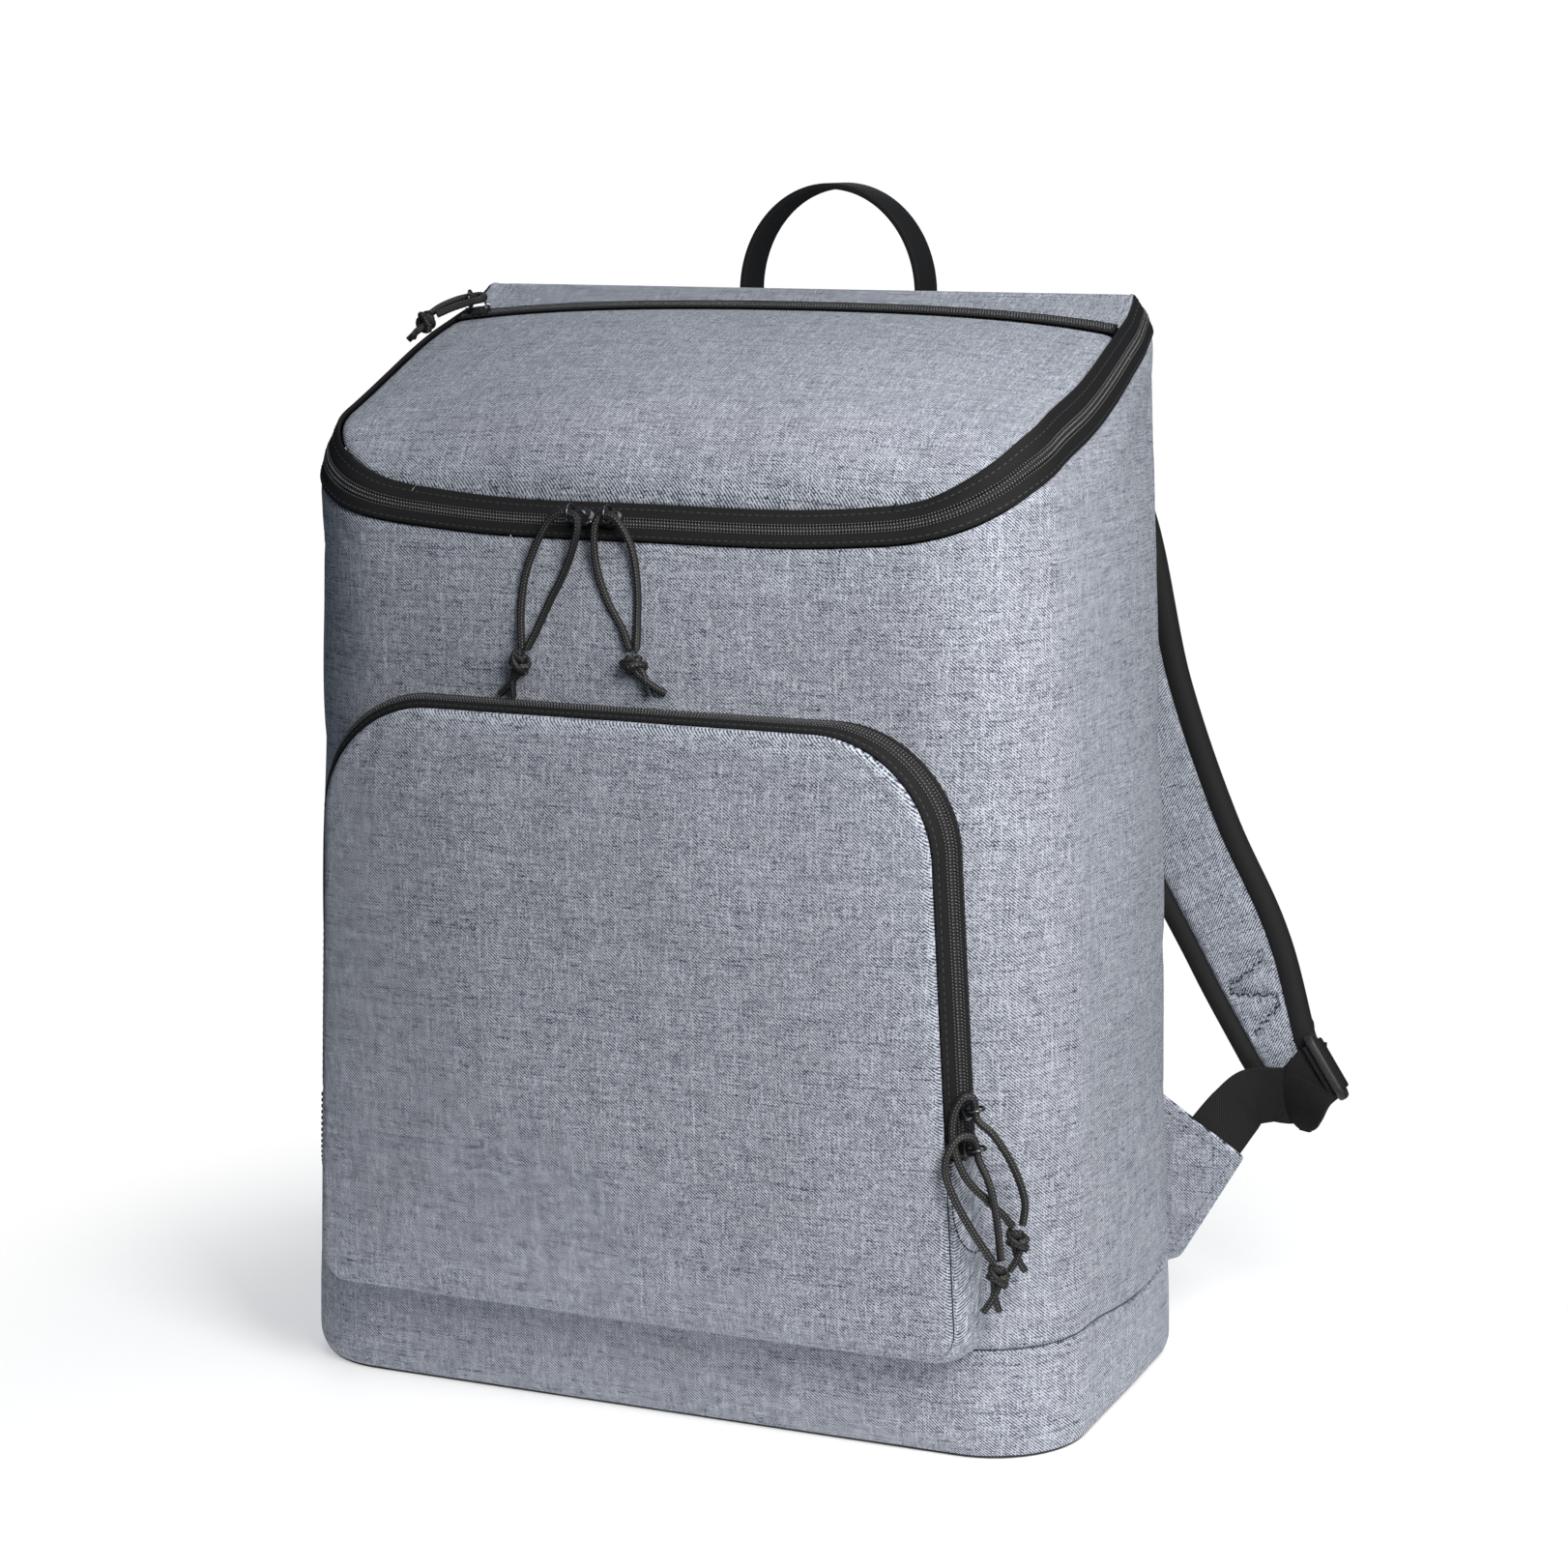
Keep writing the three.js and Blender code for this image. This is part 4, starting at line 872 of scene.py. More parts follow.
def weave_group():
    """Melange twill: dark threads one way and pale ones the other, with slubs and long streaks."""
    group, given, out = new_group("Melange weave", {
        "Thread": 0.0003, "Contrast": 1.0, "Slub": 1.0, "Mottle": 1.0,
        "Dark": (0.1, 0.1, 0.1, 1), "Light": (1, 1, 1, 1),
    }, ["Color", "Height"])
    uv = wire(group, "ShaderNodeTexCoord").outputs["UV"]
    split = wire(group, "ShaderNodeSeparateXYZ", {0: uv}).outputs
    across = sums(group, "DIVIDE", sums(group, "DIVIDE", split[0], given["Thread"]), 1.2)
    upwards = sums(group, "DIVIDE", split[1], given["Thread"])
    warp = sums(group, "FLOOR", across)
    weft = sums(group, "FLOOR", upwards)

    def lane(number, seed):
        own = wire(group, "ShaderNodeTexWhiteNoise", {"W": sums(group, "ADD", number, seed)},
                   noise_dimensions="1D").outputs["Value"]
        return own, sums(group, "MULTIPLY", own, 700.0)

    def streak(place, run, length, seed, detail=1.0):
        spot = wire(group, "ShaderNodeCombineXYZ", {0: place, 1: sums(group, "DIVIDE", run, length), 2: seed})
        noise = wire(group, "ShaderNodeTexNoise", {"Vector": spot.outputs[0], "Scale": 1.0, "Detail": detail})
        return sums(group, "SUBTRACT", noise.outputs["Fac"], 0.5)

    tones = []
    streaks = []
    kinds = ((warp, split[1], 3.7, -0.28, 1.3, 0.011, 0.6), (weft, split[0], 41.3, 0.28, 1.2, 0.014, 0.8))
    for number, run, seed, level, group_size, long_run, long_weight in kinds:
        own, place = lane(number, seed)
        slub = sums(group, "MULTIPLY", streak(place, run, 0.0042, seed, 1.5), given["Slub"])
        fleck = streak(place, run, 0.0011, seed + 9.0)
        tone = sums(group, "ADD", sums(group, "MULTIPLY", slub, 1.3), level)
        tone = sums(group, "ADD", tone, sums(group, "MULTIPLY", fleck, 1.4))
        uneven = sums(group, "MULTIPLY", sums(group, "SUBTRACT", own, 0.5), 0.2)
        tones.append(sums(group, "ADD", tone, uneven))
        bundle = sums(group, "FLOOR", sums(group, "DIVIDE", number, group_size))
        _, wide_place = lane(bundle, seed + 20.0)
        long_streak = streak(wide_place, run, long_run, seed + 30.0, 2.0)
        streaks.append(sums(group, "MULTIPLY", long_streak, long_weight))
    turn = sums(group, "FRACT", sums(group, "DIVIDE", sums(group, "ADD", warp, weft), 4.0))
    over = sums(group, "GREATER_THAN", turn, 0.4)
    under = sums(group, "SUBTRACT", 1.0, over)

    def woven(first, second):
        """The first value where the warp lies on top, and the second where the weft does."""
        top = sums(group, "MULTIPLY", first, over)
        below = sums(group, "MULTIPLY", second, under)
        return sums(group, "ADD", top, below)

    drawn = sums(group, "ADD", streaks[0], streaks[1])
    drawn = sums(group, "MULTIPLY", drawn, sums(group, "MULTIPLY", given["Slub"], 0.9))
    tone = sums(group, "ADD", woven(tones[0], tones[1]), drawn)
    stretched = wire(group, "ShaderNodeVectorMath", {0: uv, 1: (60.0, 150.0, 1.0)}, operation="MULTIPLY")
    patchy = {"Vector": stretched.outputs[0], "Scale": 1.0, "Detail": 3.0, "Roughness": 0.6}
    patch = wire(group, "ShaderNodeTexNoise", patchy).outputs["Fac"]
    patch = sums(group, "MULTIPLY", sums(group, "SUBTRACT", patch, 0.5), given["Mottle"])
    tone = sums(group, "ADD", sums(group, "MULTIPLY", tone, given["Contrast"]), 0.5)
    tone = sums(group, "ADD", tone, patch, clamp=True)
    group.links.new(blend_colours(group, tone, given["Dark"], given["Light"]), out["Color"])
    crowns = []
    for value in (across, upwards):
        crowns.append(sums(group, "ABSOLUTE", sums(group, "SINE", sums(group, "MULTIPLY", value, math.pi))))
    group.links.new(woven(crowns[0], crowns[1]), out["Height"])
    return group


def chevron_group():
    """Herringbone of a zip tape, or a plain twill where Zigzag is 0. UV is length and metres across."""
    group, given, out = new_group("Herringbone", {"Pitch": 0.0009, "Column": 0.004, "Zigzag": 1.0},
                                  ["Lines", "Height"])
    uv = wire(group, "ShaderNodeTexCoord").outputs["UV"]
    split = wire(group, "ShaderNodeSeparateXYZ", {0: uv}).outputs
    column = sums(group, "FRACT", sums(group, "DIVIDE", split[1], given["Column"]))
    fold = sums(group, "ABSOLUTE", sums(group, "SUBTRACT", column, 0.5))
    fold = sums(group, "MULTIPLY", sums(group, "MULTIPLY", fold, given["Column"]), given["Zigzag"])
    plain = sums(group, "MULTIPLY", split[1], sums(group, "SUBTRACT", 1.0, given["Zigzag"]))
    lean = sums(group, "ADD", sums(group, "MULTIPLY", fold, 2.0), plain)
    place = sums(group, "DIVIDE", sums(group, "ADD", split[0], lean), given["Pitch"])
    wave = sums(group, "SINE", sums(group, "MULTIPLY", place, 2 * math.pi))
    lines = sums(group, "MULTIPLY_ADD", wave, 0.5)
    group.nodes[-1].inputs[2].default_value = 0.5
    grain = wire(group, "ShaderNodeTexNoise", {"Vector": uv, "Scale": 2600.0, "Detail": 2.0}).outputs["Fac"]
    # Lines is the colour mask of the twill's relief: painted shade in its grooves and painted light on its
    # ridges, with a random grain.
    group.links.new(sums(group, "MULTIPLY", lines, sums(group, "ADD", grain, 0.5)), out["Lines"])
    group.links.new(lines, out["Height"])
    return group


def braid_group():
    """Sleeve of a braided cord, with pairs of pale flecks on two sides. UV is length and share round."""
    group, given, out = new_group("Braid", {"Pitch": 0.0013, "Carriers": 8.0}, ["Fleck", "Height"])
    uv = wire(group, "ShaderNodeTexCoord").outputs["UV"]
    split = wire(group, "ShaderNodeSeparateXYZ", {0: uv}).outputs
    around = sums(group, "MULTIPLY", split[1], given["Carriers"])
    number = sums(group, "FLOOR", around)
    odd = sums(group, "MODULO", number, 2.0)
    along = sums(group, "DIVIDE", split[0], given["Pitch"])
    along = sums(group, "ADD", along, sums(group, "MULTIPLY", odd, 0.5))
    inside_x = sums(group, "ABSOLUTE", sums(group, "SUBTRACT", sums(group, "FRACT", around), 0.5))
    inside_y = sums(group, "ABSOLUTE", sums(group, "SUBTRACT", sums(group, "FRACT", along), 0.5))
    spread = sums(group, "ADD", inside_x, inside_y)
    bump = sums(group, "SUBTRACT", 1.0, sums(group, "MULTIPLY", spread, 1.5), clamp=True)
    group.links.new(bump, out["Height"])
    row = sums(group, "LESS_THAN", sums(group, "MODULO", sums(group, "ADD", number, 1.0), 4.0), 1.5)
    core = sums(group, "LESS_THAN", spread, 0.25)
    group.links.new(sums(group, "MULTIPLY", row, core), out["Fleck"])
    return group


GROUPS = {}
MATERIALS = {}


def group_node(tree, name, maker, **values):
    if name not in GROUPS:
        GROUPS[name] = maker()
    made = tree.nodes.new("ShaderNodeGroup")
    made.node_tree = GROUPS[name]
    for label, value in values.items():
        socket = made.inputs[label]
        if isinstance(value, bpy.types.NodeSocket):
            tree.links.new(value, socket)
        else:
            socket.default_value = value
    return made.outputs


def new_material(name):
    material = bpy.data.materials.new(name)
    material.use_nodes = True
    tree = material.node_tree
    shader = tree.nodes["Principled BSDF"]
    return material, tree, shader


def add_bump(tree, shader, height, strength, distance):
    bump = wire(tree, "ShaderNodeBump", {"Height": height, "Strength": strength, "Distance": distance})
    tree.links.new(bump.outputs[0], shader.inputs["Normal"])


def cloth_material():
    """Twill of pale and slate blue threads."""
    if "Melange cloth" in MATERIALS:
        return MATERIALS["Melange cloth"]
    material, tree, shader = new_material("Melange cloth")
    weave = group_node(tree, "weave", weave_group, Thread=sizes().thread, Contrast=1.7, Mottle=0.16,
                       Dark=(*colours().thread_dark, 1), Light=(*colours().thread_light, 1))
    tree.links.new(weave["Color"], shader.inputs["Base Color"])
    shader.inputs["Roughness"].default_value = 0.92
    shader.inputs["Specular IOR Level"].default_value = 0.15
    shader.inputs["Sheen Weight"].default_value = 0.08
    shader.inputs["Sheen Roughness"].default_value = 0.5
    add_bump(tree, shader, weave["Height"], 0.5, 0.00012)
    MATERIALS["Melange cloth"] = material
    return material


def tape_material(name="Zip tape", zigzag=1.0, pitch=0.0012, column=0.0042, lift=1.0):
    """Charcoal tape with herringbone or plain twill lines, painted darker in their grooves and lighter on
    their ridges: painted shade and light.
    """
    if name in MATERIALS:
        return MATERIALS[name]
    material, tree, shader = new_material(name)
    lines = group_node(tree, "chevron", chevron_group, Pitch=pitch, Column=column, Zigzag=zigzag)
    base = colours().trim
    # The twill lines mix these two tones into the colour: painted shade in the grooves and painted light on
    # the ridges, over the bump of the same lines.
    dark = tuple(value * 0.35 * lift for value in base)
    light = tuple(value * 2.2 * lift for value in base)
    tree.links.new(blend_colours(tree, lines["Lines"], dark, light), shader.inputs["Base Color"])
    shader.inputs["Roughness"].default_value = 0.75
    shader.inputs["Specular IOR Level"].default_value = 0.2
    add_bump(tree, shader, lines["Height"], 0.6, 0.00015)
    MATERIALS[name] = material
    return material


def cord_material():
    """Black braided sleeve with beige flecks, painted darker in the grooves between its carriers and lighter
    on their crowns: painted shade.
    """
    if "Pull cord" in MATERIALS:
        return MATERIALS["Pull cord"]
    material, tree, shader = new_material("Pull cord")
    braid = group_node(tree, "braid", braid_group)
    # Colour follows the braid's height: painted shade in the grooves between the carriers, over the bump of
    # the same relief.
    shade = blend_colours(tree, braid["Height"], (0.003, 0.003, 0.0035), (0.016, 0.0155, 0.0155))
    tree.links.new(blend_colours(tree, braid["Fleck"], shade, tuple(colours().fleck)),
                   shader.inputs["Base Color"])
    shader.inputs["Roughness"].default_value = 0.6
    add_bump(tree, shader, braid["Height"], 0.8, 0.00025)
    MATERIALS["Pull cord"] = material
    return material


def plain_material(name, colour, roughness, metallic=0.0, coat=0.0, grain=600.0, grain_depth=0.00003):
    """Moulded or painted finish with a fine uneven surface."""
    if name in MATERIALS:
        return MATERIALS[name]
    material, tree, shader = new_material(name)
    place = wire(tree, "ShaderNodeTexCoord").outputs["Object"]
    fine = wire(tree, "ShaderNodeTexNoise", {"Vector": place, "Scale": grain, "Detail": 4.0}).outputs["Fac"]
    low = tuple(value * 0.7 for value in colour)
    high = tuple(value * 1.35 for value in colour)
    tree.links.new(blend_colours(tree, fine, low, high), shader.inputs["Base Color"])
    spread = sums(tree, "ADD", sums(tree, "MULTIPLY", sums(tree, "SUBTRACT", fine, 0.5), 0.25), roughness)
    tree.links.new(spread, shader.inputs["Roughness"])
    shader.inputs["Metallic"].default_value = metallic
    shader.inputs["Coat Weight"].default_value = coat
    add_bump(tree, shader, fine, 0.3, grain_depth)
    MATERIALS[name] = material
    return material


def slate_thread():
    return plain_material("Slate thread", (0.012, 0.014, 0.02), 0.6)


def camera_axes():
    """Right, up and back of the photograph's camera."""
    turn = math.radians(CAMERA_TURN)
    tilt = math.radians(CAMERA_TILT)
    back = Vector((math.sin(turn) * math.cos(tilt), -math.cos(turn) * math.cos(tilt), math.sin(tilt)))
    right = Vector((math.cos(turn), math.sin(turn), 0))
    return right, back.cross(right), back


class BACKPACK_OT_stage(bpy.types.Operator):
    """Add the camera, the soft lights and the pale floor"""

    bl_idname = "backpack.stage"
    bl_label = "Stage"

    def execute(self, context):
        right, up, back = camera_axes()
        lens = bpy.data.cameras.new("Camera")
        lens.sensor_width = 36
        lens.lens = CAMERA_LENS
        lens.shift_x, lens.shift_y = CAMERA_SHIFT
        lens.clip_end = 60
        camera = bpy.data.objects.new("Camera", lens)
        matrix = Matrix((right, up, back)).transposed().to_4x4()
        matrix.translation = Vector(CAMERA_PLACE)
        camera.matrix_world = matrix
        context.collection.objects.link(camera)
        context.scene.camera = camera
        self.light("Near", (0.5, -0.48, 0.62), (0.12, -0.1, 0.2), (0.3, 0.5), 2.3, (1.0, 0.98, 0.95), 100)
        self.light("Window", (1.1, -0.12, 0.45), (0, 0, 0.22), (0.5, 1.2), 3.0, (1.0, 0.99, 0.97))
        self.light("Front", (0.3, -2.0, 1.6), (0, 0, 0.22), (1.0, 1.0), 2.4, (1.0, 1.0, 1.0))
        self.light("Top", (0.3, 0.0, 2.0), (0, 0, 0.3), (1.3, 1.3), 10.5, (0.97, 0.98, 1.0))
        self.light("Rear", (-0.9, 1.7, 1.0), (0, 0.1, 0.25), (1.0, 1.0), 7, (0.95, 0.98, 1.0))
        self.sky(context)
        self.floor()
        context.scene.view_settings.view_transform = "Standard"
        return {"FINISHED"}

    def light(self, name, place, target, size, power, colour, spread=180):
        data = bpy.data.lights.new(name, "AREA")
        data.shape = "RECTANGLE"
        data.size, data.size_y = size
        data.energy = power
        data.spread = math.radians(spread)
        data.color = colour
        lamp = bpy.data.objects.new(name, data)
        lamp.visible_camera = False
        lamp.location = place
        lamp.rotation_euler = (Vector(target) - Vector(place)).to_track_quat("-Z", "Y").to_euler()
        bpy.context.collection.objects.link(lamp)

    def sky(self, context):
        """A white surround that gives the bag only a weak, bluish light."""
        world = bpy.data.worlds.new("Studio")
        world.use_nodes = True
        tree = world.node_tree
        background = tree.nodes["Background"]
        seen = wire(tree, "ShaderNodeLightPath").outputs["Is Camera Ray"]
        tree.links.new(blend_colours(tree, seen, (0.66, 0.82, 1.0), (1, 1, 1)), background.inputs["Color"])
        strength = sums(tree, "ADD", sums(tree, "MULTIPLY", seen, 0.9), 0.11)
        tree.links.new(strength, background.inputs["Strength"])
        context.scene.world = world

    def floor(self):
        """A round pale floor that fades into the white surround."""
        clear_selection()
        bpy.ops.mesh.primitive_circle_add(vertices=96, radius=1.6, fill_type="NGON", location=(0, 0, -0.0002))
        floor = bpy.context.object
        floor.name = "floor"
        material, tree, shader = new_material("Pale floor")
        shader.inputs["Base Color"].default_value = (0.78, 0.78, 0.78, 1)
        shader.inputs["Roughness"].default_value = 0.8
        shader.inputs["Emission Color"].default_value = (1, 1, 1, 1)
        shader.inputs["Emission Strength"].default_value = 0.43
        place = wire(tree, "ShaderNodeTexCoord").outputs["Object"]
        reach = wire(tree, "ShaderNodeVectorMath", {0: place}, operation="LENGTH").outputs["Value"]
        ends = {"Value": reach, "From Min": 0.2, "From Max": 0.42, "To Min": 1.0, "To Max": 0.0}
        fade = wire(tree, "ShaderNodeMapRange", ends, interpolation_type="SMOOTHSTEP")
        tree.links.new(fade.outputs[0], shader.inputs["Alpha"])
        floor.data.materials.append(material)


def cord_tube(places, tangents, radius, sides=16, start=Vector((0, 0, 1))):
    """Rings of a braided cord, with a low relief where its carriers cross."""
    across = carried_sides(tangents, start)
    rings = []
    for place, tangent, side, length in zip(places, tangents, across, reach_along(places)):
        other = tangent.cross(side)
        ring = []
        for k in range(sides):
            angle = 2 * math.pi * k / sides
            relief = 0.045 * math.cos(2 * math.pi * length / 1.7) * math.cos(8 * angle / 2)
            ring.append(place + (side * math.cos(angle) + other * math.sin(angle)) * radius * (1 + relief))
        rings.append(ring)
    return sweep(places, rings)


def knot_parts(name):
    """An overhand knot of the doubled cord: two wraps, a crossing strand and two cut tails."""
    at, tails = KNOTS[name]
    centre = Vector(at)
    hang = ((Vector(tails[0]) + Vector(tails[1])) / 2 - centre).normalized()
    outward = Vector((0, -1, 0.15)) if name != "lid" else Vector((-0.4, -0.2, 1))
    outward = (outward - hang * outward.dot(hang)).normalized()
    side = hang.cross(outward)
    radius = CORD / 2 * 0.9
    parts = []

    def strand(points, start):
        places, tangents = smooth_curve(points, 0.45)
        parts.append(cord_tube(places, tangents, radius, 14, start))

    def turn_at(angle, along, width, height):
        return centre + hang * along + outward * (height * math.cos(angle)) + side * (width * math.sin(angle))

    wraps = []
    turns = 26
    for i in range(turns + 1):
        share = i / turns
        wraps.append(turn_at(2 * math.pi * 1.9 * share - 0.6, mix(-3.2, 2.6, share), 3.3, 2.7))
    strand(wraps, hang)
    crossing = []
    for i in range(13):
        share = i / 12
        crossing.append(turn_at(mix(-2.4, 1.6, share), mix(3.4, -3.6, share), 3.0, 3.9))
    strand(crossing, hang)
    for tail, lean in zip(tails, (-1, 1)):
        end = Vector(tail)
        start = centre - hang * 4 + side * (1.2 * lean)
        middle = centre + hang * 3.4 + side * (1.0 * lean)
        bend = middle.lerp(end, 0.55) + side * (0.5 * lean) + outward * 0.3
        strand([start, centre + side * (0.8 * lean), middle, bend, end], outward)
    return parts


class BACKPACK_OT_pull_cords(bpy.types.Operator):
    """Add the five braided pull cords and their knots"""

    bl_idname = "backpack.pull_cords"
    bl_label = "Pull cords"

    def execute(self, context):
        material = cord_material()
        for name, route in PULL_ROUTES.items():
            places, tangents = smooth_curve(route, 0.4)
            points, faces, uv = cord_tube(places, tangents, CORD / 2, start=CORD_FACE[name])
            cord = new_piece("cord_" + name, points, faces, uv)
            face_outwards(cord)
            smooth(cord, 60)
            finish(cord, material, "pull_cord", "pull_cord_" + name)
            knot = new_piece("knot_" + name, *joined(knot_parts(name)))
            face_outwards(knot)
            smooth(knot, 60)
            finish(knot, material, "pull_cord", "pull_knot_" + name)
            length = reach_along(places)[-1]
            [tuple(place * MM) for place in places[::3]]
        return {"FINISHED"}


def shell_uv(along, z):
    return (along * outline_length(z) * MM, z * MM)


class BACKPACK_OT_body(bpy.types.Operator):
    """Add the padded wall, the base band, the back panel and the base"""

    bl_idname = "backpack.body"
    bl_label = "Body"

    def execute(self, context):
        cloth = cloth_material()

        def wall(u, v):
            along = 2 * u - 1
            low = seam_height(along) + SEAM_GAP
            high = zip_point(along, 0).z - ZIP_GAP
            z = mix(low, high, v)
            ends = (1 - abs(along)) * outline_length(z)
            drop_in = roll(z - low, 3, 2) + roll(high - z, 3, 1.2) + roll(ends, 3, 2)
            calm = min((z - low) / 40, (high - z) / 25, ends / 30, 1)
            soft = 1.3 * ripple(wall_point(along, z), 85) * max(calm, 0)
            return wall_point(along, z, drop_in + soft)

        shell = sheet_piece("bag_wall", wall, 300, 84, WALL,
                            lambda u, v, place: shell_uv(2 * u - 1, place.z), span=(560, 340))
        finish(shell, cloth, "melange_cloth", "body_shell")

        def band(u, v):
            along = 2 * u - 1
            low = BASE_EDGE + SEAM_GAP
            high = seam_height(along)
            z = mix(low, high, v)
            rounding = BASE_ROUND * max(1 - v * 5, 0) ** 2
            ends = (1 - abs(along)) * outline_length(z)
            drop_in = roll(high - z, 3, 2) + roll(ends, 3, 2)
            soft = 0.5 * ripple(wall_point(along, z), 60, 4) * limit(min((high - z) / 12, z / 12), 0, 1)
            return wall_point(along, z, drop_in + soft - rounding)

        base = sheet_piece("base_wall", band, 300, 26, WALL,
                           lambda u, v, place: shell_uv(2 * u - 1, place.z + 0.37))
        finish(base, cloth, "melange_cloth", "base_band")
        self.back(cloth)
        self.underside()
        return {"FINISHED"}

    def back(self, cloth):
        def edge(z):
            share = z / BAG_HEIGHT
            return (mix(BASE_WIDTH, TOP_WIDTH, share) / 2
                    - mix(BACK_CORNER_BASE, BACK_CORNER_TOP, share) - SEAM_GAP)

        low = BASE_EDGE + SEAM_GAP

        def panel(u, v):
            z = mix(low, BAG_HEIGHT, v)
            x = (1 - 2 * u) * edge(z)
            sides = edge(z) - abs(x)
            sink = roll(sides, 4, 2) + roll(z - low, 4, 2) + roll(BAG_HEIGHT - z, 3, 2)
            soft = 0.8 * (ripple((x, 0, z), 95, 7) - 1) * limit(min(sides, z, BAG_HEIGHT - z) / 40, 0, 1)
            return Vector((x, BACK_FACE + sink + soft, z))

        back = sheet_piece("back_wall", panel, 70, 90, WALL,
                           lambda u, v, place: (place.x * MM, place.z * MM))
        finish(back, cloth, "melange_cloth", "back_panel")

    def underside(self):
        """The flat coated base, from a circle shaped to the outline, extruded and bevelled."""
        sides = 128
        clear_selection()
        bpy.ops.mesh.primitive_circle_add(vertices=sides, fill_type="NGON")
        base = bpy.context.object
        base.name = "base_cloth"
        for i, vertex in enumerate(base.data.vertices):
            place = wall_point(2 * i / (sides - 1) - 1, 0, -BASE_INSET)
            vertex.co = place * MM
        take(base)
        bpy.ops.object.mode_set(mode="EDIT")
        bpy.ops.mesh.select_all(action="SELECT")
        extrude_up(BASE_EDGE * MM)
        bpy.ops.mesh.inset(thickness=(WALL + BASE_ROUND + SEAM_GAP - BASE_INSET) * MM)
        extrude_up((BASE_PANEL - BASE_EDGE) * MM)
        bpy.ops.mesh.select_all(action="SELECT")
        bpy.ops.mesh.normals_make_consistent(inside=False)
        bpy.ops.object.mode_set(mode="OBJECT")
        bevel = base.modifiers.new("Edge", "BEVEL")
        bevel.width = 0.4 * MM
        bevel.segments = 2
        apply_modifiers(base)
        smooth(base)
        finish(base, plain_material("Base cloth", (0.03, 0.031, 0.035), 0.7), "base_cloth", "base_panel")


class BACKPACK_OT_lid(bpy.types.Operator):
    """Add the lid's crowned front panel and its strip behind the zip"""

    bl_idname = "backpack.lid"
    bl_label = "Lid"

    def execute(self, context):
        cloth = cloth_material()
        half = LID_ZIP_SHARE / 2

        def uv(u, v, place):
            return (place.x * MM, (place.y + 0.55 * place.z) * 1.14 * MM)

        def front_flat(u, v):
            a = 1.003 * (2 * u - 1)
            return lid_point(a, v * (lid_zip_place(a) - half))

        def front(u, v):
            flat = front_flat(u, v)
            sides = (1 - abs(2 * u - 1)) * 146
            ends = v * 150
            rear = (1 - v) * 150
            sink = roll(sides, 5, 2) + roll(ends, 5, 2) + roll(rear, 4, 1.2)
            calm = limit(min(sides, ends, rear) / 35, 0, 1)
            soft = 1.5 * ripple(flat, 75, 2) * calm
            return push_out(front_flat, u, v, sink + soft)

        panel = sheet_piece("lid_panel", front, 170, 100, LID_WALL, uv, span=(290, 165))
        finish(panel, cloth, "melange_cloth", "lid_front_panel")

        def back_flat(u, v):
            a = 1.006 * (2 * u - 1)
            hem = Vector((0, 0, LID_HEM * v ** 5))
            return lid_point(a, mix(lid_zip_place(a) + half, 1, v)) + hem

        def back(u, v):
            sink = roll(v * 8, 2.5, 1) + roll((1 - v) * 8, 2.5, 1)
            return push_out(back_flat, u, v, sink)

        strip = sheet_piece("lid_strip", back, 170, 12, LID_STRIP + LID_STRIP_EXTRA, uv)
        finish(strip, cloth, "melange_cloth", "lid_back_strip")
        return {"FINISHED"}


ZIPS = {
    "main_zip": (main_strip, ZIP_WIDTH, 560, ("lower_tape", "upper_tape"), (1.0, 1.0)),
    "lid_zip": (lid_strip, LID_ZIP_WIDTH, 260, ("front_tape", "back_tape"), (1.0, 1.0)),
    "pocket_zip": (pocket_strip, POCKET_DEPTH, 460, ("outer_tape", "inner_tape"), (0.0, 1.0)),
}


